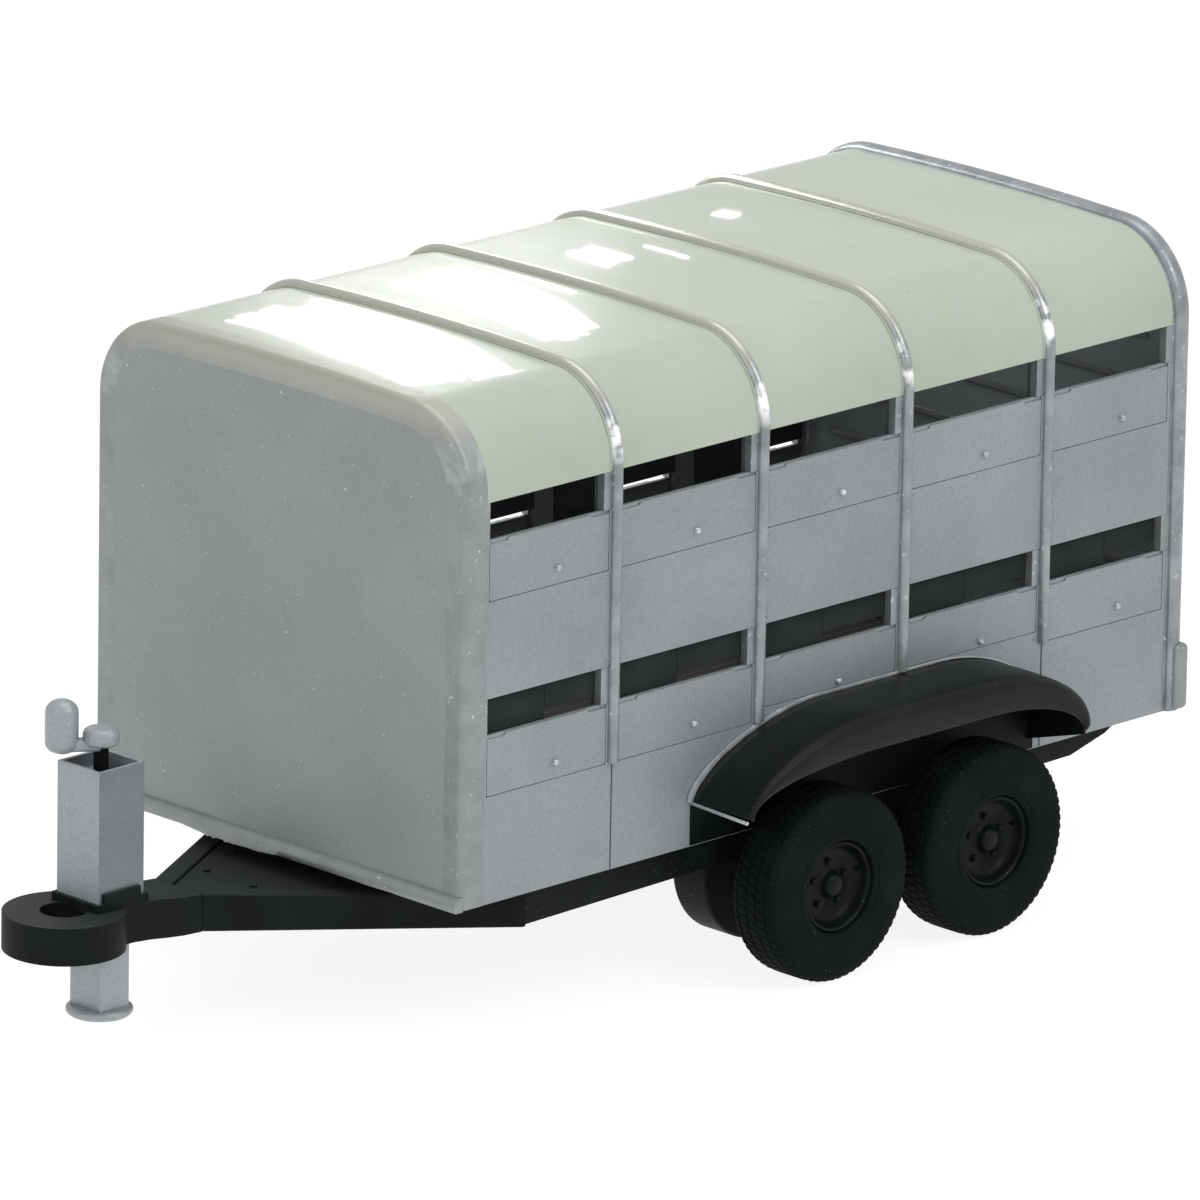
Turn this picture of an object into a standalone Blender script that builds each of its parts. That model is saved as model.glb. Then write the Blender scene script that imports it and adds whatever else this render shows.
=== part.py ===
"""Twin-axle livestock trailer: a box body on a black chassis, with vent flaps,
a rear loading ramp, an A-frame drawbar and a winding prop stand.

Metres, +Z up. The drawbar points to -Y, the ramp is at +Y, and the trailer's own
left side is +X. The origin is on the ground under the middle of the bounding box.
"""

import math

import bmesh
import bpy
from mathutils import Matrix, Vector

# ---------------------------------------------------------------- driving dimensions
BODY_LENGTH = 3.66
HALF_WIDTH = 0.95
SHOULDER_RADIUS = 0.31
SHOULDER_TOP = 1.808
ROOF_CAMBER = 0.013
GROUND_TO_BODY = 0.54
BAYS = 5
SKIN = 0.025
GAP = 0.0003

RING_CENTRE = -1.02
RING_RADIUS = 0.22
RING_HOLE = 0.085
RING_TOP = -0.0015
RING_BOTTOM = -0.141
NECK_HALF = 0.125
NECK_END = -0.47
NECK_BREAK = -0.735
NECK_DROP = -0.56
ARM_END = 0.57
ARM_SPREAD = 0.614
ARM_WIDTH = 0.093
PLATE_END = 0.36
RAMP_AXIS_Y = BODY_LENGTH + 0.008
RAMP_AXIS_Z = 0.022
BARREL_RADIUS = 0.020
ROD_RADIUS = 0.009
RAMP_HALF = 0.82

FRONT_EDGE = 0.03
FRAME_INSET = 0.05
HOOP_DEPTH = 0.10
PORTAL_DEPTH = 0.080
SILL_LOW = 0.619
SLOT_LOW_TOP = 0.756
SILL_HIGH = 1.334
ROOF_EDGE = 1.475
FLAP_HEIGHT = 0.221
FLAP_THICKNESS = 0.0085
POCKET_DEPTH = 0.010
KNOB_OFFSET = 0.040
BEAD_WIDTH = 0.045
BEAD_HEIGHT = 0.025
POST_FRONT = 0.058
POST_REAR = 0.036
RIB_INSET = 0.058
RIB_HALF = 0.05

TYRE_RADIUS = 0.355
TYRE_WIDTH = 0.216
TYRE_OUTER_FACE = 1.246
RIM_RADIUS = 0.170
WHEEL_SIDES = 24
AXLE_FRONT_Y = 1.608
AXLE_REAR_Y = 2.411
AXLE_RADIUS = 0.0325
HANGER_RADIUS = 0.283
HANGER_INNER = 0.67
HANGER_OUTER = 0.84

RAIL_INNER = 0.82
RAIL_OUTER = 0.90
RAIL_FRONT = 0.37
RAIL_BOTTOM = -0.118
RAIL_TOP = -0.0005
MEMBER_HALF = 0.03
MEMBER_BOTTOM = -0.090
FLOOR_THICKNESS = 0.026
MAT_TOP = 0.030

GUARD_TOP = 0.432
GUARD_BASE = 0.170
GUARD_OUTER = 1.255

STAND_Y = -0.848
STAND_TOP = 0.511
SLEEVE_HALF = 0.108
SLEEVE_WALL = 0.014
LEG_HALF_X = 0.079
LEG_HALF_Y = 0.068
LEG_WALL = 0.014
SHAFT_RADIUS = 0.027
SCREW_RADIUS = 0.016
SCREW_TOP = 0.434
CRANK_REACH = (-0.085, -0.110)

# The design is drawn from the body's front lower edge; this shift centres it.
FRONT_END = RING_CENTRE - RING_RADIUS
REAR_END = RAMP_AXIS_Y + BARREL_RADIUS
SHIFT = Vector((0.0, -(FRONT_END + REAR_END) / 2, GROUND_TO_BODY))

BAY = BODY_LENGTH / BAYS
AXLE_Z = TYRE_RADIUS - GROUND_TO_BODY

COLOURS = {
    "body_alloy": ((0.30, 0.32, 0.33), 0.40, 0.85),
    "hoop_bright": ((0.42, 0.44, 0.46), 0.30, 0.90),
    "roof_shell": ((0.52, 0.55, 0.44), 0.25, 0.0),
    "frame_black": ((0.012, 0.014, 0.014), 0.45, 0.0),
    "tyre_rubber": ((0.012, 0.013, 0.013), 0.70, 0.0),
    "rim_black": ((0.010, 0.011, 0.011), 0.40, 0.0),
    "stand_zinc": ((0.40, 0.42, 0.43), 0.38, 0.85),
    "deck_alloy": ((0.22, 0.23, 0.23), 0.55, 0.80),
}


# ---------------------------------------------------------------- helpers
def clear_scene():
    for item in list(bpy.data.objects):
        bpy.data.objects.remove(item, do_unlink=True)


def material(slot):
    found = bpy.data.materials.get(slot)
    if found:
        return found
    colour, roughness, metallic = COLOURS[slot]
    made = bpy.data.materials.new(slot)
    made.use_nodes = True
    shader = made.node_tree.nodes["Principled BSDF"]
    shader.inputs["Base Color"].default_value = (*colour, 1.0)
    shader.inputs["Roughness"].default_value = roughness
    shader.inputs["Metallic"].default_value = metallic
    return made


def add_mesh(name, points, faces, slot, smooth=False):
    """Make an object from points drawn in the body's own coordinates."""
    mesh = bpy.data.meshes.new(name)
    mesh.from_pydata([Vector(p) + SHIFT for p in points], [], faces)
    tidy = bmesh.new()
    tidy.from_mesh(mesh)
    bmesh.ops.recalc_face_normals(tidy, faces=tidy.faces)
    tidy.to_mesh(mesh)
    tidy.free()
    if smooth:
        mesh.shade_smooth()
        mesh.set_sharp_from_angle(angle=math.radians(35))
    made = bpy.data.objects.new(name, mesh)
    made.data.materials.append(material(slot))
    bpy.context.scene.collection.objects.link(made)
    return made


def prism(name, outline, axis, low, high, slot, smooth=False):
    """Extrude a flat outline along X, Y or Z, from low to high."""
    order = {"X": (2, 0, 1), "Y": (0, 2, 1), "Z": (0, 1, 2)}[axis]
    points = []
    for level in (low, high):
        for a, b in outline:
            flat = (a, b, level)
            points.append([flat[order[0]], flat[order[1]], flat[order[2]]])
    count = len(outline)
    faces = [list(range(count)), list(range(2 * count - 1, count - 1, -1))]
    for i in range(count):
        j = (i + 1) % count
        faces.append([i, j, count + j, count + i])
    return add_mesh(name, points, faces, slot, smooth)


def box(name, x_range, y_range, z_range, slot):
    corners = [(x_range[0], y_range[0]), (x_range[1], y_range[0]),
               (x_range[1], y_range[1]), (x_range[0], y_range[1])]
    return prism(name, corners, "Z", z_range[0], z_range[1], slot)


def disc(centre, radius, sides):
    """Points of a circle in the plane of the outline."""
    turn = 2 * math.pi / sides
    return [(centre[0] + radius * math.cos(turn * i), centre[1] + radius * math.sin(turn * i))
            for i in range(sides)]


def lathe(name, profile, axis, centre, slot, sides=28):
    """Turn a closed (radius, height) profile about an X or Z axis through centre.

    The first flat is half a step round, so a wheel stands on a flat and not on an edge.
    """
    points = []
    starts = []
    for radius, height in profile:
        starts.append(len(points))
        steps = 1 if radius == 0 else sides
        for i in range(steps):
            angle = 2 * math.pi * (i + 0.5) / sides
            across = (radius * math.cos(angle), radius * math.sin(angle))
            if axis == "X":
                points.append((centre[0] + height, centre[1] + across[0], centre[2] + across[1]))
            else:
                points.append((centre[0] + across[0], centre[1] + across[1], centre[2] + height))
    faces = []
    count = len(profile)
    for k in range(count):
        n = (k + 1) % count
        here, there = profile[k][0], profile[n][0]
        for i in range(sides):
            j = (i + 1) % sides
            if here == 0 and there == 0:
                continue
            if here == 0:
                faces.append([starts[k], starts[n] + i, starts[n] + j])
            elif there == 0:
                faces.append([starts[k] + i, starts[k] + j, starts[n]])
            else:
                faces.append([starts[k] + i, starts[k] + j, starts[n] + j, starts[n] + i])
    return add_mesh(name, points, faces, slot, smooth=True)


def combine(base, others, operation):
    """Join or cut base with the other solids, then remove them."""
    for other in others:
        other.hide_render = True
        other.display_type = 'WIRE'
        step = base.modifiers.new(operation.lower(), 'BOOLEAN')
        step.operation = operation
        step.solver = 'EXACT'
        step.object = other
    bpy.context.view_layer.update()
    evaluated = base.evaluated_get(bpy.context.evaluated_depsgraph_get())
    finished = bpy.data.meshes.new_from_object(evaluated)
    base.modifiers.clear()
    base.data = finished
    for other in others:
        bpy.data.objects.remove(other, do_unlink=True)
    return base


def arch(inset, bottom, arc_steps=7, top_steps=4):
    """Points of the body's arched outline, from the right foot over to the left foot."""
    half = HALF_WIDTH - inset
    radius = SHOULDER_RADIUS - inset
    top = SHOULDER_TOP - inset
    flat = HALF_WIDTH - SHOULDER_RADIUS
    left = [(half, bottom)]
    for i in range(arc_steps + 1):
        angle = math.pi / 2 * i / arc_steps
        left.append((flat + radius * math.cos(angle), top - radius + radius * math.sin(angle)))
    for i in range(1, top_steps // 2 + 1):
        across = flat * (1 - 2 * i / top_steps)
        left.append((across, top + ROOF_CAMBER * (1 - (across / flat) ** 2)))
    right = [(-x, z) for x, z in left[:-1]]
    return left + right[::-1]


def arch_band(name, section, bottom, slot):
    """Sweep a closed (inset, y) section along the arched outline."""
    rows = [arch(inset, bottom) for inset, _ in section]
    steps = len(rows[0])
    points = []
    for row, (_, y) in zip(rows, section):
        points.extend([(x, y, z) for x, z in row])
    count = len(section)
    faces = [[k * steps for k in range(count)],
             [k * steps + steps - 1 for k in range(count - 1, -1, -1)]]
    for k in range(count):
        n = (k + 1) % count
        for i in range(steps - 1):
            faces.append([k * steps + i, n * steps + i, n * steps + i + 1, k * steps + i + 1])
    return add_mesh(name, points, faces, slot, smooth=True)


def guard_height(y):
    """Height of the mudguard's top line at a place along the body, or 0 beyond it."""
    front, rear = 1.75, 2.35
    if y < front:
        share = min(1.0, (front - y) / 0.62)
        rise = (1 - share ** 1.6) ** (1 / 1.6)
    elif y > rear:
        share = min(1.0, (y - rear) / 0.54)
        rise = math.sqrt(1 - share ** 2)
    else:
        return GUARD_TOP
    if rise <= 0:
        return 0.0
    return GUARD_BASE + (GUARD_TOP - GUARD_BASE) * rise


def sides():
    """The two sides of the trailer, as a name and a sign along X."""
    return (("left", 1), ("right", -1))


# ---------------------------------------------------------------- body shell
def front_wall():
    lip_half, lip_low, lip_high = 0.945, -0.022, 0.050
    panel = prism("front_panel", arch(FRAME_INSET + GAP, 0.0), "Y", 0.0, SKIN, "body_alloy")
    lip = box("front_lip", (-lip_half, lip_half), (-0.040, 0.010), (lip_low, lip_high), "body_alloy")
    clear = HALF_WIDTH - FRAME_INSET - 2 * GAP
    notches = []
    for side, sign in sides():
        across = sorted((sign * clear, sign * 0.96))
        notches.append(box("notch", across, (-GAP, 0.03), (-GAP, 0.07), "body_alloy"))
    combine(panel, [lip], 'UNION')
    combine(panel, notches, 'DIFFERENCE')

    section = [(FRAME_INSET, 0.0)]
    for i in range(5):
        angle = math.pi / 2 * i / 4
        section.append((FRONT_EDGE - FRONT_EDGE * math.sin(angle), FRONT_EDGE - FRONT_EDGE * math.cos(angle)))
    section += [(0.0, HOOP_DEPTH), (FRAME_INSET, HOOP_DEPTH)]
    hoop = arch_band("front_hoop", section, 0.0, "hoop_bright")
    combine(hoop, slot_pads(0.08, 0.115, 0.93), 'UNION')


def slot_pads(y_low, y_high, inner_x):
    """Posts that fill the two slot bands flush with the side panels."""
    pads = []
    for side, sign in sides():
        for low, high in ((SILL_LOW, SLOT_LOW_TOP), (SILL_HIGH, ROOF_EDGE)):
            across = sorted((sign * inner_x, sign * HALF_WIDTH))
            pads.append(box("pad", across, (y_low, y_high), (low + GAP, high - GAP), "hoop_bright"))
    return pads


def rib_hoop(index):
    y = BAY * index
    inner = [(RIB_INSET, y - RIB_HALF), (RIB_INSET, y + RIB_HALF),
             (SKIN + GAP, y + RIB_HALF), (SKIN + GAP, y - RIB_HALF)]
    hoop = arch_band(f"rib_hoop_{index}", inner, FLOOR_THICKNESS + GAP, "hoop_bright")
    combine(hoop, slot_pads(y - POST_FRONT, y + POST_REAR, 0.91), 'UNION')
    section = []
    for i in range(5):
        angle = math.pi * i / 4
        section.append((-GAP - BEAD_HEIGHT * math.sin(angle), y - BEAD_WIDTH / 2 * math.cos(angle)))
    bead_foot = max(0.400, guard_height(y) + 0.008)
    bead = arch_band("bead", section, bead_foot, "hoop_bright")
    ties = []
    for side, sign in sides():
        across = sorted((sign * 0.94, sign * (HALF_WIDTH + 0.012)))
        for low, high in ((SILL_LOW, SLOT_LOW_TOP), (SILL_HIGH, ROOF_EDGE)):
            ties.append(box("tie", across, (y - 0.015, y + 0.015), (low + 0.004, high - 0.004),
                            "hoop_bright"))
    combine(bead, ties, 'UNION')
    combine(hoop, [bead], 'UNION')


def rear_portal():
    front, rear = BODY_LENGTH - PORTAL_DEPTH, BODY_LENGTH
    proud, lap, bead_half = 0.022, 0.006, 0.030
    middle = (front + rear) / 2 + 0.005
    section = [(0.06, front), (0.06, rear), (-lap, rear)]
    for i in range(5):
        angle = math.pi * i / 4
        section.append((-lap - (proud - lap) * math.sin(angle), middle + bead_half * math.cos(angle)))
    section += [(0.0, front)]
    portal = arch_band("rear_portal", section, 0.0, "hoop_bright")
    parts = slot_pads(BODY_LENGTH - 0.110, front + 0.02, 0.93)
    for side, sign in sides():
        across = sorted((sign * 0.925, sign * 0.990))
        parts.append(box("buffer", across, (front + 0.03, rear + 0.022), (0.002, 0.255), "hoop_bright"))
    combine(portal, parts, 'UNION')


def roof_skin():
    front, rear = HOOP_DEPTH + GAP, BODY_LENGTH - PORTAL_DEPTH - GAP
    section = [(0.0, front), (0.0, rear), (SKIN, rear), (SKIN, front)]
    arch_band("roof_skin", section, ROOF_EDGE, "roof_shell")


def side_panels():
    """One lower and one middle plank on each side, with a pocket for each flap."""
    front, rear = HOOP_DEPTH + GAP, BODY_LENGTH - PORTAL_DEPTH - GAP
    for side, sign in sides():
        for row, low, high in (("lower", 0.0, SILL_LOW), ("middle", SLOT_LOW_TOP, SILL_HIGH)):
            across = sorted((sign * (HALF_WIDTH - SKIN), sign * HALF_WIDTH))
            panel = box(f"side_{row}_{side}", across, (front, rear), (low, high), "body_alloy")
            pockets = []
            for bay in range(BAYS):
                y_low, y_high, foot, sill = flap_place(bay, row)
                depth = sorted((sign * (HALF_WIDTH - POCKET_DEPTH), sign * (HALF_WIDTH + 0.01)))
                pockets.append(box("pocket", depth, (y_low - 0.002, y_high + 0.002),
                                   (foot - 0.002, sill + 0.01), "body_alloy"))
            combine(panel, pockets, 'DIFFERENCE')


def flap_place(bay, row):
    """Where a vent flap lies: its ends along Y, its foot and the sill it hangs from."""
    sill = SILL_LOW if row == "lower" else SILL_HIGH
    y_low = BAY * bay + (0.115 if bay == 0 else 0.032)
    y_high = BAY * (bay + 1) - (0.098 if bay == BAYS - 1 else 0.032)
    foot = sill - FLAP_HEIGHT
    if row == "lower":
        highest = max(guard_height(y_low), guard_height(y_high), guard_height((y_low + y_high) / 2))
        if highest > foot - 0.005:
            foot = highest + 0.012
    return y_low, y_high, foot, sill


def vent_flaps():
    outer = HALF_WIDTH - 0.0003
    for side, sign in sides():
        for row in ("lower", "middle"):
            label = "low" if row == "lower" else "high"
            for bay in range(BAYS):
                y_low, y_high, foot, sill = flap_place(bay, row)
                across = sorted((sign * (outer - FLAP_THICKNESS), sign * outer))
                flap = box(f"flap_{label}_{side}_{bay + 1}", across, (y_low, y_high),
                           (foot, sill - 0.001), "body_alloy")
                knob_profile = [(0, -0.004), (0.0080, -0.004), (0.0080, 0.006), (0.0115, 0.012),
                                (0, 0.015)]
                if sign < 0:
                    knob_profile = [(r, -h) for r, h in knob_profile]
                middle = (y_low + y_high) / 2
                at = (sign * outer, middle + KNOB_OFFSET, foot + knob_rise(foot, sill))
                knob = lathe("knob", knob_profile, "X", at, "body_alloy", 8)
                combine(flap, [knob], 'UNION')
                set_origin(flap, (sign * (HALF_WIDTH + GAP), middle, sill))


def knob_rise(foot, sill):
    """How far a flap's knob stands above its foot; the short flaps have it lower."""
    return 0.060 if sill - foot > FLAP_HEIGHT - 0.01 else 0.023


def set_origin(made, place):
    """Move an object's origin to a place on its joint axis, leaving its shape where it is."""
    target = Vector(place) + SHIFT
    made.data.transform(Matrix.Translation(-target))
    made.location = target


# ---------------------------------------------------------------- rear ramp
def rear_ramp():
    sill = box("rear_sill", (-0.8845, 0.8845), (BODY_LENGTH - PORTAL_DEPTH, BODY_LENGTH - 0.015),
               (0.0, 0.030), "frame_black")
    axis = (0, RAMP_AXIS_Y, RAMP_AXIS_Z)
    rod_end = RAMP_HALF + 0.025
    parts = []
    for side, sign in sides():
        across = sorted((sign * (RAMP_HALF + 0.010), sign * (RAMP_HALF + 0.040)))
        parts.append(box("lug", across, (BODY_LENGTH - 0.03, REAR_END), (0.002, 0.042), "frame_black"))
    combine(sill, parts, 'UNION')
    rod = lathe("rod", [(0, -rod_end), (ROD_RADIUS, -rod_end), (ROD_RADIUS, rod_end), (0, rod_end)],
                "X", axis, "frame_black", 16)
    combine(sill, [rod], 'UNION')

    inner, outer = BODY_LENGTH - 0.048, BODY_LENGTH - 0.008
    bore_radius, bore_end = ROD_RADIUS + 0.0008, 0.9
    ramp = prism("rear_ramp", arch(0.064, 0.046), "Y", inner, outer, "body_alloy")
    web = box("web", (-RAMP_HALF, RAMP_HALF), (outer - 0.006, RAMP_AXIS_Y), (RAMP_AXIS_Z, 0.060),
              "body_alloy")
    barrel = lathe("barrel", [(0, -RAMP_HALF), (BARREL_RADIUS, -RAMP_HALF),
                              (BARREL_RADIUS, RAMP_HALF), (0, RAMP_HALF)],
                   "X", axis, "body_alloy", 16)
    bore = lathe("bore", [(0, -bore_end), (bore_radius, -bore_end), (bore_radius, bore_end),
                          (0, bore_end)], "X", axis, "body_alloy", 16)
    combine(ramp, [web, barrel], 'UNION')
    combine(ramp, [bore], 'DIFFERENCE')
    set_origin(ramp, axis)

    pin_start, latch_height = outer + GAP, 1.16
    for side, sign in sides():
        pivot = (sign * 0.835, pin_start, latch_height)
        arm = box(f"ramp_latch_{side}", sorted((sign * 0.815, sign * 0.935)),
                  (BODY_LENGTH + GAP, BODY_LENGTH + 0.012), (latch_height - 0.015, latch_height + 0.015),
                  "stand_zinc")
        stem = prism("stem", disc((pivot[0], pivot[2]), 0.018, 12), "Y", pin_start,
                     BODY_LENGTH + 0.020, "stand_zinc")
        combine(arm, [stem], 'UNION')
        set_origin(arm, pivot)


# ---------------------------------------------------------------- chassis and drawbar
def chassis():
    rail_outline = [(RAIL_FRONT, RAIL_BOTTOM), (BODY_LENGTH - 0.51, RAIL_BOTTOM),
                    (BODY_LENGTH - 0.33, -0.070), (BODY_LENGTH - 0.25, RAIL_TOP), (RAIL_FRONT, RAIL_TOP)]
    frame = prism("chassis_frame", rail_outline, "X", RAIL_INNER, RAIL_OUTER, "frame_black")
    far_rail = prism("far_rail", rail_outline, "X", -RAIL_OUTER, -RAIL_INNER, "frame_black")
    members = []
    reach = (RAIL_INNER + RAIL_OUTER) / 2
    for y in (0.43, 1.22, 2.01, 2.80, 3.28):
        members.append(box("member", (-reach, reach), (y - MEMBER_HALF, y + MEMBER_HALF),
                           (MEMBER_BOTTOM, -0.015), "frame_black"))
    combine(frame, members, 'UNION')
    combine(frame, [far_rail], 'UNION')

    wide, narrow = HALF_WIDTH - SKIN - 0.0005, HALF_WIDTH - FRAME_INSET - 0.0005
    front, step, rear = SKIN + GAP, HOOP_DEPTH + 0.0005, BODY_LENGTH - PORTAL_DEPTH - 0.0005
    outline = [(narrow, front), (narrow, step), (wide, step), (wide, rear),
               (-wide, rear), (-wide, step), (-narrow, step), (-narrow, front)]
    deck = prism("floor_deck", outline, "Z", 0.0, FLOOR_THICKNESS, "deck_alloy")
    mat_half = HALF_WIDTH - RIB_INSET - 0.006
    mat = box("mat", (-mat_half, mat_half), (step + 0.01, rear - 0.01), (0.010, MAT_TOP), "deck_alloy")
    combine(deck, [mat], 'UNION')


def arm_top(y):
    """Height of the drawbar arms' top: they fall towards the body."""
    return -0.030 - 0.0665 * (y + 0.52)


def arm_bottom(y):
    return -0.168 - 0.0515 * (y + 0.56)


def arm_edge(y):
    """Distance of the drawbar arms' outer edge from the middle."""
    return NECK_HALF + 0.002 + ARM_SPREAD * (y - NECK_END)


def sloping_plate(name, outline, top, bottom, slot):
    """A plate with a plan outline, whose top and bottom heights depend on Y."""
    points = [(x, y, bottom(y)) for x, y in outline]
    points += [(x, y, top(y)) for x, y in outline]
    count = len(outline)
    faces = [list(range(count)), list(range(2 * count - 1, count - 1, -1))]
    for i in range(count):
        j = (i + 1) % count
        faces.append([i, j, count + j, count + i])
    return add_mesh(name, points, faces, slot)


def drawbar():
    start = NECK_END + GAP
    for side, sign in sides():
        outline = [(sign * arm_edge(ARM_END), ARM_END), (sign * arm_edge(start), start),
                   (sign * (arm_edge(start) - ARM_WIDTH), start),
                   (sign * (arm_edge(ARM_END) - ARM_WIDTH), ARM_END)]
        sloping_plate(f"drawbar_arm_{side}", outline, arm_top, arm_bottom, "frame_black")

    coupling = prism("coupling_ring", disc((0, RING_CENTRE), RING_RADIUS, 36), "Z",
                     RING_BOTTOM, RING_TOP, "frame_black", smooth=True)
    root = RING_CENTRE + 0.12
    profile = [(root, RING_BOTTOM), (root + 0.10, RING_BOTTOM), (NECK_DROP, arm_bottom(NECK_DROP)),
               (NECK_END, arm_bottom(NECK_END)), (NECK_END, arm_top(NECK_END)),
               (NECK_BREAK, RING_TOP), (root, RING_TOP)]
    neck = prism("neck", profile, "X", -NECK_HALF, NECK_HALF, "frame_black")
    inner = arm_edge(NECK_END) - ARM_WIDTH - 2 * GAP
    wide = inner + ARM_SPREAD * (PLATE_END - NECK_END)
    outline = [(inner, NECK_END - 0.02), (inner, NECK_END), (wide, PLATE_END),
               (-wide, PLATE_END), (-inner, NECK_END), (-inner, NECK_END - 0.02)]
    plate = sloping_plate("plate", outline, lambda y: arm_top(y) - 0.010,
                          lambda y: arm_top(y) - 0.032, "frame_black")
    parts = [neck, plate]
    for side, sign in sides():
        across = sorted((sign * (SLEEVE_HALF + GAP), sign * (SLEEVE_HALF + 0.016)))
        parts.append(box("clamp", across, (STAND_Y - 0.095, STAND_Y + 0.085), (-0.020, 0.066),
                         "frame_black"))
    combine(coupling, parts, 'UNION')
    hole = prism("hole", disc((0, RING_CENTRE), RING_HOLE, 28), "Z", -0.3, 0.1, "frame_black")
    guide = box("guide", (-LEG_HALF_X - 0.0007, LEG_HALF_X + 0.0007),
                (STAND_Y - LEG_HALF_Y - 0.0007, STAND_Y + LEG_HALF_Y + 0.0007), (-0.3, 0.1), "frame_black")
    combine(coupling, [hole, guide], 'DIFFERENCE')


def prop_stand():
    inner = SLEEVE_HALF - SLEEVE_WALL
    bridge_low, bridge_high = 0.435, 0.460
    sleeve = box("stand_sleeve", (-SLEEVE_HALF, SLEEVE_HALF),
                 (STAND_Y - SLEEVE_HALF, STAND_Y + SLEEVE_HALF), (RING_TOP + GAP, STAND_TOP), "stand_zinc")
    cavity = box("cavity", (-inner, inner), (STAND_Y - inner, STAND_Y + inner), (-0.2, 0.6), "stand_zinc")
    combine(sleeve, [cavity], 'DIFFERENCE')
    bridge = box("bridge", (-inner - 0.007, inner + 0.007), (STAND_Y - 0.045, STAND_Y + 0.045),
                 (bridge_low, bridge_high), "stand_zinc")
    combine(sleeve, [bridge], 'UNION')
    eye = prism("eye", disc((0, STAND_Y), SHAFT_RADIUS + 0.001, 16), "Z", 0.40, 0.50, "stand_zinc")
    combine(sleeve, [eye], 'DIFFERENCE')

    leg_top, leg_bottom, foot_low, foot_radius = 0.190, -0.395, -0.420, 0.120
    leg = box("stand_leg", (-LEG_HALF_X, LEG_HALF_X), (STAND_Y - LEG_HALF_Y, STAND_Y + LEG_HALF_Y),
              (leg_bottom, leg_top), "stand_zinc")
    hollow_x, hollow_y = LEG_HALF_X - LEG_WALL, LEG_HALF_Y - LEG_WALL
    hollow = box("hollow", (-hollow_x, hollow_x), (STAND_Y - hollow_y, STAND_Y + hollow_y),
                 (leg_bottom + 0.025, 0.3), "stand_zinc")
    combine(leg, [hollow], 'DIFFERENCE')
    foot = lathe("foot", [(0, foot_low), (0.108, foot_low), (foot_radius, -0.408), (foot_radius, -0.396),
                          (0.106, -0.386), (0, -0.386)], "Z", (0, STAND_Y, 0), "stand_zinc", 24)
    combine(leg, [foot], 'UNION')
    nut = box("nut", (-hollow_x - 0.006, hollow_x + 0.006),
              (STAND_Y - hollow_y - 0.006, STAND_Y + hollow_y + 0.006), (0.150, 0.175), "stand_zinc")
    combine(leg, [nut], 'UNION')
    thread = prism("thread", disc((0, STAND_Y), SCREW_RADIUS + 0.0015, 16), "Z", 0.10, 0.25, "stand_zinc")
    combine(leg, [thread], 'DIFFERENCE')

    lathe("stand_screw", [(0, -0.13), (SCREW_RADIUS, -0.13), (SCREW_RADIUS, SCREW_TOP), (0, SCREW_TOP)],
          "Z", (0, STAND_Y, 0), "stand_zinc", 16)

    arm_low, arm_high, arm_half = 0.550, 0.592, 0.034
    boss_low, boss_high, boss_radius = 0.570, 0.632, 0.066
    grip_low, grip_high, grip_radius = 0.540, 0.740, 0.060
    shaft_low = SCREW_TOP + GAP
    crank = lathe("stand_crank", [(0, shaft_low), (SHAFT_RADIUS, shaft_low), (SHAFT_RADIUS, 0.600),
                                  (0, 0.600)], "Z", (0, STAND_Y, 0), "stand_zinc", 16)
    boss = lathe("boss", [(0, boss_low), (boss_radius - 0.012, boss_low), (boss_radius, boss_low + 0.012),
                          (boss_radius, boss_high - 0.012), (boss_radius - 0.012, boss_high),
                          (0, boss_high)], "Z", (0, STAND_Y, 0), "stand_zinc", 20)
    reach = Vector(CRANK_REACH)
    along = reach.normalized()
    across = Vector((along[1], -along[0])) * arm_half
    centre = Vector((0, STAND_Y))
    end = centre + reach
    outline = [tuple(centre + across), tuple(end + across), tuple(end - across), tuple(centre - across)]
    arm = prism("arm", outline, "Z", arm_low, arm_high, "stand_zinc")
    grip_profile = [(0, grip_low)]
    for i in range(1, 5):
        angle = math.pi / 2 * i / 4
        grip_profile.append((grip_radius * math.sin(angle), grip_low + 0.035 * (1 - math.cos(angle))))
    for i in range(4):
        angle = math.pi / 2 * i / 4
        grip_profile.append((grip_radius * math.cos(angle), grip_high - 0.045 * (1 - math.sin(angle))))
    grip_profile.append((0, grip_high))
    grip = lathe("grip", grip_profile, "Z", (end[0], end[1], 0), "stand_zinc", 18)
    combine(crank, [boss, arm, grip], 'UNION')
    set_origin(crank, (0, STAND_Y, 0.50))


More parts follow.
